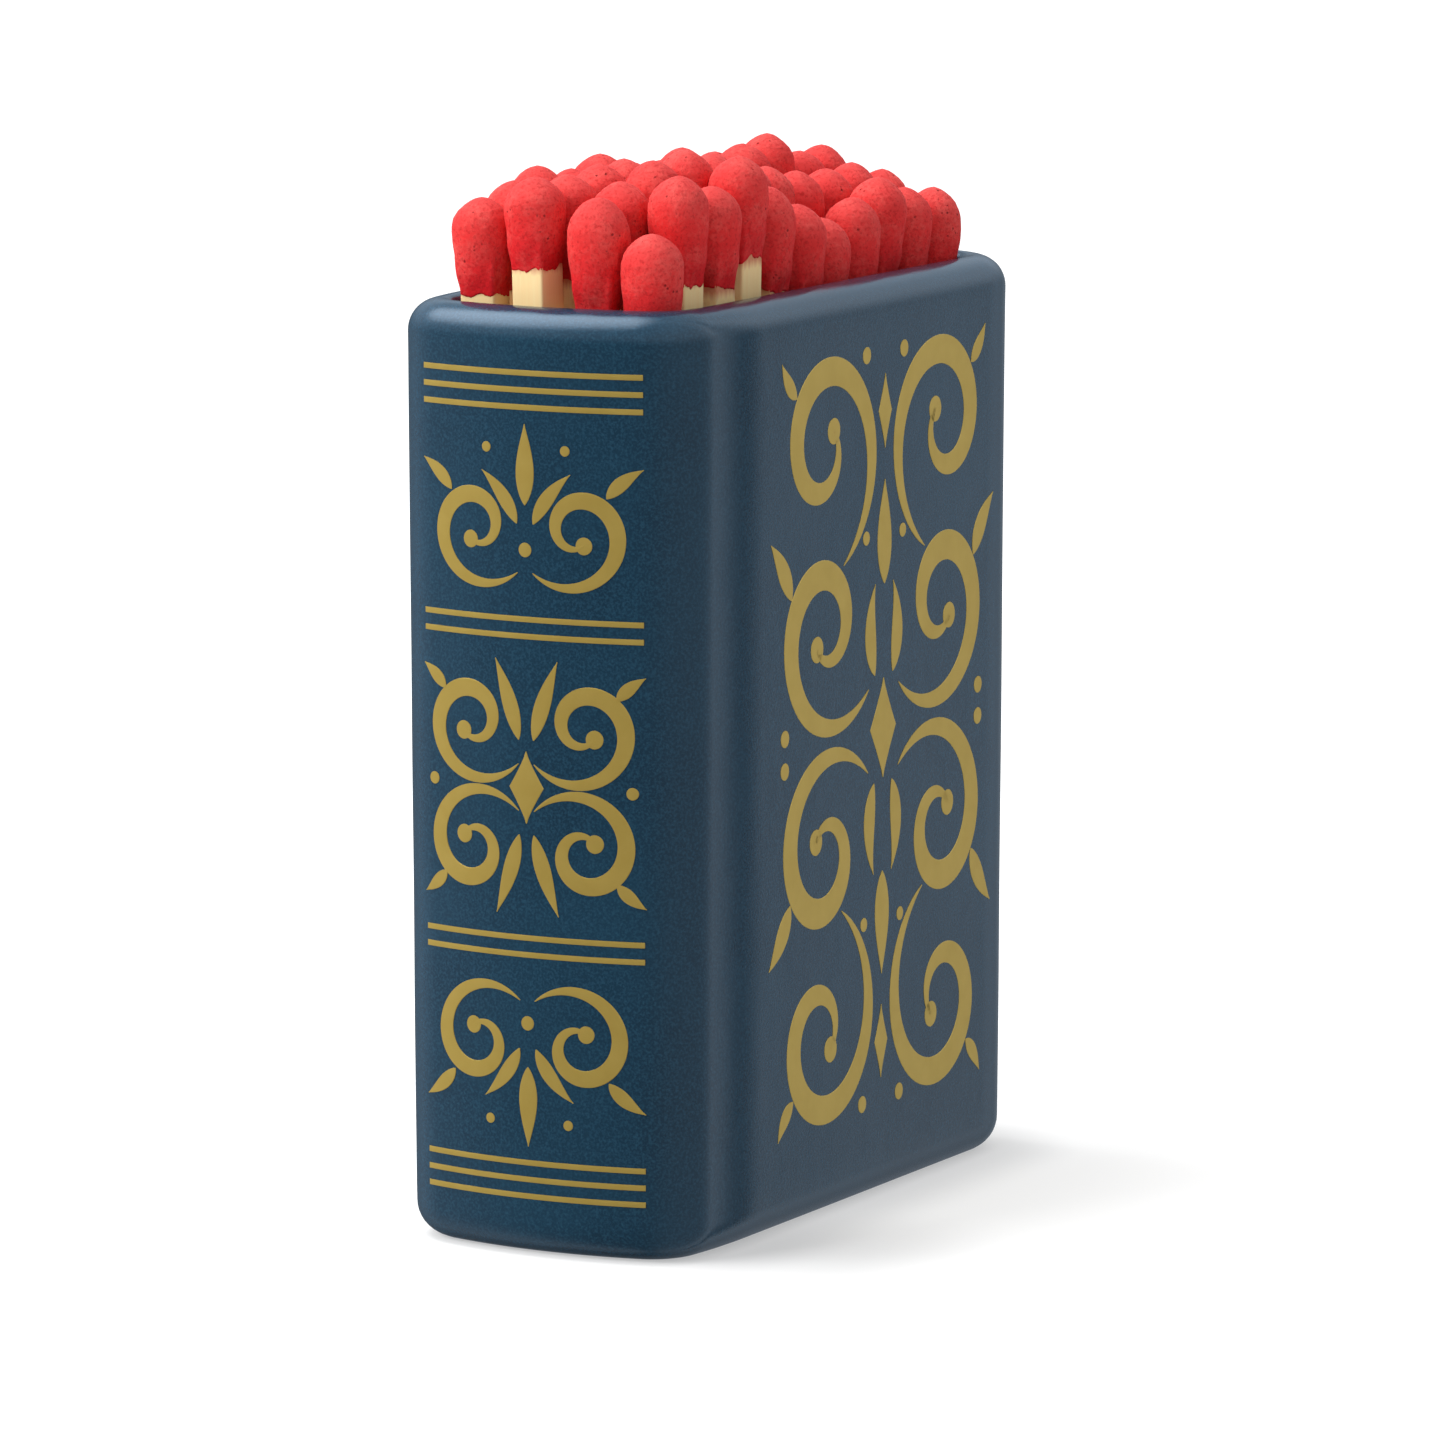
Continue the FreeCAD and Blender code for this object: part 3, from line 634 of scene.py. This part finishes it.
border += [r * across + columns for r in range(rows)]
border += [rows * across + c for c in range(columns, 0, -1)]
border += [r * across for r in range(rows, 0, -1)]
for here, after in zip(border, border[1:] + border[:1]):
    stripFaces.append((here, above + here, above + after, after))
stripMesh = buildMesh("strikerStrip", stripVertices, stripFaces, 45)
strikerStrip = placeObject("strikerStrip", stripMesh, gritMaterial)
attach(strikerStrip, "root")
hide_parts("striker_strip")
print("striking strip laid in its recess")

gilding = {
    "height": 0.04,             # fired paste stands this much above the glaze
    "rooted": -0.05,            # and reaches this much into it
    "thinnest": 0.04,           # half the width of a stroke at its point
    # section of a stroke: shares of its half width and of its height
    "section": ((-1.0, -0.3), (-0.97, 0.94), (-0.9, 1.0), (0.0, 1.0), (0.9, 1.0),
                (0.97, 0.94), (1.0, -0.3)),
    "ruleWidth": 0.55,
    "ruleReach": 12.0,
    "ruleLevels": (6.0, 7.65, 9.3, 29.7, 31.35),    # from either end of the spine
    "endPanel": 19.6,           # from the rim to the middle of the upper panel
    "ornamentY": 4.2,
    "ornamentZ": 47.5,
    "voluteSteps": 90,
    "leafSteps": 28,
    "lozengeSteps": 12,
    "dotSteps": 14,
    "ruleSteps": 60,
}
outlineSteps = vessel["outlineSteps"]
coverStart = outlineSteps["spine"] + outlineSteps["shoulder"]
coverEnd = coverStart + outlineSteps["roll"] + outlineSteps["cover"]
spineKeys = [x for x, y, nx, ny in outerHalf[:coverStart]]
coverKeys = [y for x, y, nx, ny in outerHalf[:coverEnd + 1]]


def skinPoint(face, across, z, lift):  # a point on the vessel's outside, or above it
    keys, place, flip = coverKeys, across, 1
    if face == "spine":
        keys, place, flip = spineKeys, abs(across), -1 if across < 0 else 1
    index = min(max(bisect.bisect_left(keys, place), 1), len(keys) - 1)
    share = (place - keys[index - 1]) / (keys[index] - keys[index - 1])
    before, after = outerHalf[index - 1], outerHalf[index]
    x, y, nx, ny = (p + (q - p) * share for p, q in zip(before, after))
    out = lift - draftAt(z) + wobbleAt(x * flip, y, z)
    if face == "spine":
        return Vector((across * mm, (y + ny * out) * mm, z * mm))
    return Vector(((x + nx * out) * mm, across * mm, z * mm))


def stroke(face, line, halfWidths):  # raised ribbon along points u, v with its half widths
    rings = []
    for index, ((u, v), half) in enumerate(zip(line, halfWidths)):
        before = line[max(index - 1, 0)]
        after = line[min(index + 1, len(line) - 1)]
        along = Vector((after[0] - before[0], after[1] - before[1])).normalized()
        ring = []
        for share, rise in gilding["section"]:
            ring.append(skinPoint(face, u - along.y * half * share, v + along.x * half * share,
                                  rise * gilding["height"]))
        ring.append(skinPoint(face, u, v, gilding["rooted"]))
        rings.append(ring)
    return skinRings(rings)


def atLeastThin(halfWidth):
    return max(gilding["thinnest"], halfWidth)


def volute(u, v, firstRadius, lastRadius, start, turn, width, ball):  # winds in to u, v
    steps = gilding["voluteSteps"]
    line, halfWidths = [], []
    for i in range(steps + 1):
        share = i / steps
        angle = math.radians(start + turn * share)
        radius = firstRadius * (lastRadius / firstRadius) ** share
        line.append((u + radius * math.cos(angle), v + radius * math.sin(angle)))
        halfWidths.append(atLeastThin(width / 2 * math.sin(math.pi * 0.95 * share ** 0.7)))
    return [(line, halfWidths), dot(*line[-1], ball)]


def leaf(u, v, heading, length, width, bend=0.0):  # turns by bend degrees over its length
    steps = gilding["leafSteps"]
    line, halfWidths = [], []
    for i in range(steps + 1):
        line.append((u, v))
        halfWidths.append(atLeastThin(width / 2 * math.sin(math.pi * (i / steps) ** 0.75)))
        angle = math.radians(heading + bend * (i + 0.5) / steps)
        u += math.cos(angle) * length / steps
        v += math.sin(angle) * length / steps
    return line, halfWidths


def lozenge(u, v, width, height):
    steps = gilding["lozengeSteps"]
    line = [(u, v + height * (i / steps - 0.5)) for i in range(steps + 1)]
    return line, [atLeastThin(width / 2 * (1 - abs(2 * i / steps - 1)) ** 1.15)
                  for i in range(steps + 1)]


def dot(u, v, radius):
    steps = gilding["dotSteps"]
    turns = [math.pi * i / steps for i in range(steps + 1)]
    line = [(u, v - radius * math.cos(turn)) for turn in turns]
    return line, [atLeastThin(radius * math.sin(turn)) for turn in turns]


def rule(u, v, reach, width):
    steps = gilding["ruleSteps"]
    line = [(u + reach * (2 * i / steps - 1), v) for i in range(steps + 1)]
    return line, [width / 2] * (steps + 1)


def bothSides(shapes, axis=0.0):
    return shapes + [([(2 * axis - u, v) for u, v in line], widths) for line, widths in shapes]


def flipped(shapes, level):
    return [([(u, 2 * level - v) for u, v in line], widths) for line, widths in shapes]


def spineEndPanel(middle):  # two volutes that wind towards each other, under a fan of leaves
    shapes = volute(5.5, middle - 1.4, 6.3, 1.5, 222, 436, 1.7, 0.85) + [
        leaf(8.5, middle + 1.9, 52, 4.6, 1.4, -26),
        leaf(0.9, middle - 0.9, 66, 6.4, 1.5, -29),
        dot(4.3, middle + 6.3, 0.5),
    ]
    return bothSides(shapes) + [leaf(0.0, middle + 0.9, 90, 7.8, 2.0),
                                dot(0.0, middle - 3.4, 0.7)]


def spineMiddlePanel(middle):  # four volutes about a lozenge
    shapes = bothSides(volute(6.1, middle + 6.1, 6.5, 1.5, 216, 460, 1.8, 0.9) + [
        leaf(9.4, middle + 8.9, 50, 3.6, 1.3, -21),
        leaf(0.8, middle + 4.6, 76, 8.2, 1.7, -9),
    ])
    shapes += flipped(shapes, middle)
    return shapes + bothSides([dot(10.9, middle, 0.6)]) + [lozenge(0.0, middle, 3.8, 7.0)]


def coverField(u, v):  # eight volutes either side of a row of lozenges and leaves
    shapes = volute(u + 12.2, v + 11.2, 11.4, 2.6, 218, 462, 3.1, 1.3)
    shapes += volute(u + 13.0, v + 29.0, 12.6, 2.7, 250, -468, 3.0, 1.3)
    shapes += [
        leaf(u + 19.5, v + 15.0, 66, 7.4, 2.3, -25),
        leaf(u + 1.9, v + 5.4, 66, 9.4, 2.3, 48),
        leaf(u + 18.7, v + 34.6, 36, 4.8, 1.7, 27),
        dot(u + 20.8, v + 1.6, 0.85),
        dot(u + 4.0, v + 37.4, 0.85),
        dot(u + 3.9, v + 19.3, 0.7),
    ]
    shapes = bothSides(shapes, u) + [leaf(u, v + 14.4, 90, 10.4, 3.0),
                                     lozenge(u, v + 31.6, 2.8, 7.4)]
    return shapes + flipped(shapes, v) + [lozenge(u, v, 5.6, 10.0)]


def gild(name, node, face, shapes):
    vertices, faces = [], []
    for line, widths in shapes:
        strokeVertices, strokeFaces = stroke(face, line, widths)
        start = len(vertices)
        vertices += strokeVertices
        faces += [tuple(start + i for i in polygon) for polygon in strokeFaces]
    mesh = buildMesh(name, vertices, faces)
    faceOutwards(mesh)
    mesh.set_sharp_from_angle(angle=math.radians(20))
    piece = placeObject(name, mesh, goldMaterial)
    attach(piece, "root")
    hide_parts(node)
    print(name, len(shapes), "strokes")


gold = {
    "dark": "#c8a550",
    "light": "#ceab56",
    "patch": 2.6,
    "grain": 0.3,               # coarser than the paste's own, to show
    "relief": 0.03,
    "metallic": 0.78,
    "roughness": 0.5,
    "specular": 0.2,
}

# Fired matt gold: gold paste laid on as a transfer and fused to the glaze. Its fine grain
# spreads the light, so it looks like an even ochre from every side, and the transfer leaves
# faint patches
goldMaterial, tree = newMaterial("fired matt gold")
coords = addNode(tree, "ShaderNodeTexCoord").outputs["Object"]
patches = addNode(tree, "ShaderNodeTexNoise", {
    "Vector": coords, "Scale": perMetre(gold["patch"]), "Detail": 4.0})
goldColour = addNode(tree, "ShaderNodeValToRGB", {"Fac": patches.outputs["Fac"]}, stops=(
    (0.3, linear(gold["dark"])), (0.7, linear(gold["light"]))))
goldGrain = addNode(tree, "ShaderNodeTexNoise", {
    "Vector": coords, "Scale": perMetre(gold["grain"]), "Detail": 2.0})
goldBump = addNode(tree, "ShaderNodeBump", {
    "Height": goldGrain.outputs["Fac"], "Strength": 0.4, "Distance": gold["relief"] * mm})
gilt = addNode(tree, "ShaderNodeBsdfPrincipled", {
    "Base Color": goldColour.outputs["Color"], "Metallic": gold["metallic"],
    "Roughness": gold["roughness"], "Specular IOR Level": gold["specular"],
    "Normal": goldBump.outputs[0]})
addNode(tree, "ShaderNodeOutputMaterial", {"Surface": gilt.outputs[0]})

spineShapes = []
for level in gilding["ruleLevels"]:
    for z in (level, top - level):
        spineShapes.append(rule(0.0, z, gilding["ruleReach"], gilding["ruleWidth"]))
endPanel = spineEndPanel(top - gilding["endPanel"])
spineShapes += endPanel + flipped(endPanel, top / 2) + spineMiddlePanel(top / 2)
gild("spineGilding", "spine_gilding", "spine", spineShapes)
gild("coverGilding", "cover_gilding", "cover",
     coverField(gilding["ornamentY"], gilding["ornamentZ"]))

match = {
    "headDiameter": 6.0,
    "headLength": 10.4,
    # share of the head's length from the tip, share of its radius
    "headProfile": ((0.0, 0.0), (0.012, 0.2), (0.035, 0.37), (0.075, 0.57), (0.13, 0.76),
                    (0.2, 0.905), (0.28, 0.985), (0.36, 1.0), (1.0, 1.0)),
    "belly": 0.36,              # below this share of the head it draws in
    "waist": 0.82,              # to this share of its radius
    "girthSpread": 0.035,       # how much one head differs from the next
    "lengthSpread": 0.16,
    "waistSpread": 0.1,
    "shortDips": {"match_01": 0.86, "match_02": 0.84},    # share of the usual length
    "coat": 0.32,               # least thickness on the stick
    "thinCoat": 0.04,           # at the ragged lower edge
    "thinFrom": 0.72,           # share of the head's length where it begins to thin
    "squareRounding": 0.12,
    "ragged": 0.07,             # how far the lower edge rises and falls
    "teeth": 0.3,               # and its finer teeth, as a share of that
    "lumps": 0.13,              # broad swells of the dried dip
    "lumpSize": 2.6,
    "pocks": 0.05,              # small dents
    "pockSize": 0.9,
    "calmFrom": 0.7,            # share of the head's length where both fade
    "droop": 0.12,              # lets the tip down by up to twice this
    "headSteps": 56,            # around, and down
    "stickWidth": 3.6,
    "edgeRounding": 0.22,
    "sawnRoughness": 0.012,
    "sawnSize": (0.8, 0.8, 9.0),
    "footSqueeze": 0.93,        # crushed edges at the foot
}
splitLevel = 0.03               # metres: a stick's foot is below it, and its head above


def profileRadius(share):
    profile = match["headProfile"]
    for (t0, r0), (t1, r1) in zip(profile, profile[1:]):
        if share <= t1:
            return r0 + (r1 - r0) * (share - t0) / (t1 - t0)
    return profile[-1][1]


def matchPlace(node):  # the node's own stick gives the foot, the axis and the twist
    points = {tuple(round(c, 7) for c in v.co) for v in nodes[node].data.vertices}
    points = [Vector(p) for p in points]
    feet = [p for p in points if p.z < splitLevel]
    foot = sum(feet, Vector()) / len(feet)
    rest = [p for p in points if p.z > splitLevel]
    axis = (sum(rest, Vector()) / len(rest) - foot).normalized()
    crown = sorted(rest, key=lambda p: -(p - foot).dot(axis))[:8]  # the tip's eight corners
    crown = sum(crown, Vector()) / len(crown)
    length = (crown - foot).length
    axis = (crown - foot) / length
    corner = feet[0] - foot
    corner = (corner - axis * corner.dot(axis)).normalized()
    side = (Matrix.Rotation(math.radians(45), 3, axis) @ corner).normalized()
    turned = Matrix((side, axis.cross(side), axis)).transposed().to_4x4()
    return Matrix.Translation(foot) @ turned, length / mm


def squareReach(angle, half, rounding):  # from the middle to a square's side or corner
    reach = half / max(abs(math.cos(angle)), abs(math.sin(angle)))
    return min(reach, half * math.sqrt(2) - rounding)


def waves(angle, size, level, shift):  # noise round a circle of a size
    return noise.noise(Vector((size * math.cos(angle), size * math.sin(angle), level)) + shift)


def headMesh(name, length, seed, dip):
    around = down = match["headSteps"]
    half = match["stickWidth"] / 2
    belly, thinFrom, calmFrom = match["belly"], match["thinFrom"], match["calmFrom"]
    rings, shares = [], []
    shift = Vector((seed * 3.7, seed * 1.9, seed * 5.3))  # each head its own noise
    radius = match["headDiameter"] / 2 * (1 + match["girthSpread"] * noise.noise(shift * 1.31))
    headLength = match["headLength"] * dip * (
        1 + match["lengthSpread"] * noise.noise(shift * 1.73))
    waist = match["waist"] + match["waistSpread"] * noise.noise(shift * 2.11)
    for r in range(down + 1):
        share = (r / down) ** 1.25  # closer rings at the tip
        taper = 1 - (1 - waist) * ease((share - belly) / (1 - belly))
        thin = ease((share - thinFrom) / (1 - thinFrom))
        coat = match["coat"] + (match["thinCoat"] - match["coat"]) * thin
        calm = 1 - 0.95 * ease((share - calmFrom) / (1 - calmFrom))
        ring = []
        for a in range(around):
            angle = 2 * math.pi * a / around
            ragged = waves(angle, 1.7, 0, shift) + match["teeth"] * waves(angle, 9, 4, shift)
            drop = headLength * share * (1 + match["ragged"] * ragged * share ** 3)
            reach = profileRadius(share) * radius * taper
            coated = squareReach(angle, half + coat, match["squareRounding"])
            if share > 0.4:  # below the tip the dip also covers the square stick
                reach = max(reach * (1 - thin) + coated * thin, coated)
            spot = Vector((reach * math.cos(angle), reach * math.sin(angle), -drop))
            swell = noise.noise(spot / match["lumpSize"] + shift)
            pock = abs(noise.noise(spot / match["pockSize"] + shift))
            uneven = match["lumps"] * swell - match["pocks"] * pock
            reach += uneven * calm * min(1, share * 8)
            drop += match["droop"] * (1 + swell) * (1 - min(1, share * 4))
            ring.append((reach * math.cos(angle) * mm, reach * math.sin(angle) * mm,
                         (length - drop) * mm))
            shares.append(share)
        rings.append(ring)
    rings.append([(x * 0.86, y * 0.86, z - 0.05 * mm) for x, y, z in rings[-1]])  # tucked in
    shares += [1.0] * around
    tipLevel = rings[0][0][2]
    # A tiny ring closes the tip
    rings[0] = [(0.02 * mm * math.cos(2 * math.pi * a / around),
                 0.02 * mm * math.sin(2 * math.pi * a / around), tipLevel)
                for a in range(around)]
    mesh = buildMesh(name, *skinRings([list(reversed(ring)) for ring in rings]))
    floatAttribute(mesh, "down", shares)
    return mesh


def stickMesh(name, length, seed, dip):
    half, rounding = match["stickWidth"] / 2, match["edgeRounding"]
    end = length - match["headLength"] * 0.5  # buried in the head
    # Wide rings below, and closer ones on the last quarter under the head
    levels = [0.0, 0.15] + [end * i / 12 for i in range(1, 10)]
    levels += [end * 0.75 + (end * 0.25) * i / 24 for i in range(1, 25)]
    section = []
    for corner in range(4):
        middle = math.pi / 4 + corner * math.pi / 2
        centre = Vector((math.cos(middle), math.sin(middle))) * (half - rounding) * math.sqrt(2)
        for step in (-1, -0.33, 0.33, 1):
            angle = middle + step * math.pi / 4
            section.append((centre.x + rounding * math.cos(angle),
                            centre.y + rounding * math.sin(angle)))
        following = middle + math.pi / 4
        for share in (-0.5, 0.0, 0.5):
            along = Vector((-math.sin(following), math.cos(following))) * share * half
            flat = Vector((math.cos(following), math.sin(following))) * half + along
            section.append((flat.x, flat.y))
    rings, fromHead = [], []
    shift = Vector((seed * 2.3, seed * 4.1, seed * 1.1))
    across, through, lengthways = match["sawnSize"]
    for index, level in enumerate(levels):
        squeeze = match["footSqueeze"] if index == 0 else 1.0
        ring = []
        for x, y in section:
            rough = noise.noise(Vector((x / across, y / through, level / lengthways)) + shift)
            grow = squeeze * (1 + match["sawnRoughness"] * rough)
            ring.append((x * grow * mm, y * grow * mm, level * mm))
            fromHead.append(length - match["headLength"] * dip - level)
        rings.append(ring)
    mesh = buildMesh(name, *skinRings(rings), 60)
    floatAttribute(mesh, "fromHead", fromHead)
    return mesh


compound = {
    # down the head: paler at the tip as painted light from above, a little darker towards the foot
    # as painted shade
    "tip": "#cf4745",
    "belly": "#df3232",
    "foot": "#d81e26",
    "dust": "#ec7068",
    "speck": "#a01519",
    # painted shade in the pits
    "pit": "#6e0d12",
    "powder": 0.55,             # powder and specks are coarser than real ones, to show
    "speckSize": 0.32,
    "blush": 3.0,
    "pitSpacing": 0.8,
    "relief": 0.16,
    "roughness": 0.8,
    "specular": 0.12,
}

# Dried match composition: chlorate and glue, dyed red. Powdery and matt, paler where the tips
# are dusty, with tiny pits and dark specks. Its colour is also painted paler at the tip as light
# from above, a little darker towards the foot as shade, and dark in the pits as shade
redMaterial, tree = newMaterial("dried red match compound")
coords = addNode(tree, "ShaderNodeTexCoord").outputs["Object"]
chance = addNode(tree, "ShaderNodeObjectInfo").outputs["Random"]
moved = addNode(tree, "ShaderNodeVectorMath", {0: coords, 1: chance}, operation="ADD")
downTo = addNode(tree, "ShaderNodeAttribute", attribute_name="down")
powder = addNode(tree, "ShaderNodeTexNoise", {
    "Vector": moved.outputs[0], "Detail": 4.0, "Roughness": 0.75,
    "Scale": perMetre(compound["powder"])})
blush = addNode(tree, "ShaderNodeTexNoise", {
    "Vector": moved.outputs[0], "Detail": 3.0, "Scale": perMetre(compound["blush"])})
pits = addNode(tree, "ShaderNodeTexVoronoi", {
    "Vector": moved.outputs[0], "Scale": perMetre(compound["pitSpacing"])})
# Painted light and shade down the head: paler at the tip, a little darker towards the foot
body = addNode(tree, "ShaderNodeValToRGB", {"Fac": downTo.outputs["Fac"]}, stops=(
    (0.0, linear(compound["tip"])), (0.4, linear(compound["belly"])),
    (1.0, linear(compound["foot"]))))
dust = addNode(tree, "ShaderNodeMath", {
    0: powder.outputs["Fac"], 1: blush.outputs["Fac"]}, operation="MULTIPLY")
dusty = addNode(tree, "ShaderNodeValToRGB", {"Fac": dust.outputs[0]}, stops=(
    (0.2, grey(0.0)), (0.42, grey(0.35))))
powdered = addNode(tree, "ShaderNodeMix", {
    0: dusty.outputs["Color"], 6: body.outputs["Color"], 7: linear(compound["dust"])},
    data_type="RGBA")
# Painted shade: the pits, which the bump also dents, are coloured darker
pitShade = addNode(tree, "ShaderNodeValToRGB", {"Fac": pits.outputs["Distance"]}, stops=(
    (0.08, grey(0.8)), (0.2, grey(0.0))))
pitMask = addNode(tree, "ShaderNodeValToRGB", {"Fac": blush.outputs["Fac"]}, stops=(
    (0.54, grey(0.0)), (0.6, grey(1.0))))
pitted = addNode(tree, "ShaderNodeMath", {
    0: pitShade.outputs["Color"], 1: pitMask.outputs["Color"]}, operation="MULTIPLY")
speckle = addNode(tree, "ShaderNodeTexNoise", {
    "Vector": moved.outputs[0], "Detail": 2.0, "Scale": perMetre(compound["speckSize"])})
speckShade = addNode(tree, "ShaderNodeValToRGB", {"Fac": speckle.outputs["Fac"]}, stops=(
    (0.52, grey(0.0)), (0.68, grey(0.42))))
speckled = addNode(tree, "ShaderNodeMix", {
    0: speckShade.outputs["Color"], 6: powdered.outputs[2], 7: linear(compound["speck"])},
    data_type="RGBA")
redColour = addNode(tree, "ShaderNodeMix", {
    0: pitted.outputs[0], 6: speckled.outputs[2], 7: linear(compound["pit"])},
    data_type="RGBA")
pitDepth = addNode(tree, "ShaderNodeMath", {
    0: powder.outputs["Fac"], 1: pitted.outputs[0]}, operation="SUBTRACT")
redBump = addNode(tree, "ShaderNodeBump", {
    "Height": pitDepth.outputs[0], "Strength": 0.8, "Distance": compound["relief"] * mm})
red = addNode(tree, "ShaderNodeBsdfPrincipled", {
    "Base Color": redColour.outputs[2], "Roughness": compound["roughness"],
    "Specular IOR Level": compound["specular"], "Normal": redBump.outputs[0]})
addNode(tree, "ShaderNodeOutputMaterial", {"Surface": red.outputs[0]})

splint = {
    "dark": "#fcd89a",
    "middle": "#ffdea4",
    "light": "#ffe6b0",
    "stain": "#c24436",
    "grain": (0.35, 0.35, 11.0),    # across, through and along the stick
    "soak": 1.4,                # how far down the grain the dip soaks in
    "relief": 0.04,
    "roughness": 0.68,
    "specular": 0.25,
}

# Peeled aspen splint, square sawn: pale straw wood with fine grain along the stick, and a
# red stain where the dip soaked in
woodMaterial, tree = newMaterial("sawn aspen splint")
coords = addNode(tree, "ShaderNodeTexCoord").outputs["Object"]
chance = addNode(tree, "ShaderNodeObjectInfo").outputs["Random"]
moved = addNode(tree, "ShaderNodeVectorMath", {0: coords, 1: chance}, operation="ADD")
grainWays = addNode(tree, "ShaderNodeMapping", {
    "Vector": moved.outputs[0], "Scale": [perMetre(size) for size in splint["grain"]]})
grain = addNode(tree, "ShaderNodeTexNoise", {
    "Vector": grainWays.outputs[0], "Scale": 1.0, "Detail": 5.0, "Roughness": 0.6})
woodColour = addNode(tree, "ShaderNodeValToRGB", {"Fac": grain.outputs["Fac"]}, stops=(
    (0.2, linear(splint["dark"])), (0.5, linear(splint["middle"])),
    (0.8, linear(splint["light"]))))
belowHead = addNode(tree, "ShaderNodeAttribute", attribute_name="fromHead")
soak = addNode(tree, "ShaderNodeMath", {0: grain.outputs["Fac"], 1: splint["soak"]},
               operation="MULTIPLY")
soaked = addNode(tree, "ShaderNodeMath", {0: soak.outputs[0], 1: belowHead.outputs["Fac"]},
                 operation="SUBTRACT")
stain = addNode(tree, "ShaderNodeValToRGB", {"Fac": soaked.outputs[0]}, stops=(
    (0.15, grey(0.0)), (1.0, grey(0.7))))
stained = addNode(tree, "ShaderNodeMix", {
    0: stain.outputs["Color"], 6: woodColour.outputs["Color"], 7: linear(splint["stain"])},
    data_type="RGBA")
woodBump = addNode(tree, "ShaderNodeBump", {
    "Height": grain.outputs["Fac"], "Strength": 0.2, "Distance": splint["relief"] * mm})
wood = addNode(tree, "ShaderNodeBsdfPrincipled", {
    "Base Color": stained.outputs[2], "Roughness": splint["roughness"],
    "Specular IOR Level": splint["specular"], "Normal": woodBump.outputs[0]})
addNode(tree, "ShaderNodeOutputMaterial", {"Surface": wood.outputs[0]})

matchNodes = sorted(name for name in nodes if name.startswith("match_"))
for number, node in enumerate(matchNodes, start=1):
    place, length = matchPlace(node)
    dip = match["shortDips"].get(node, 1.0)
    head = placeObject(f"head{number:02d}", headMesh(f"head{number:02d}", length, number, dip),
                       redMaterial, place)
    stick = placeObject(f"stick{number:02d}", stickMesh(f"stick{number:02d}", length, number, dip),
                        woodMaterial, place)
    for piece, slot in ((stick, "match"), (head, "match")):
        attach(piece, "root")
        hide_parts(node)
print(len(matchNodes), "matches dipped and stood in the vessel")
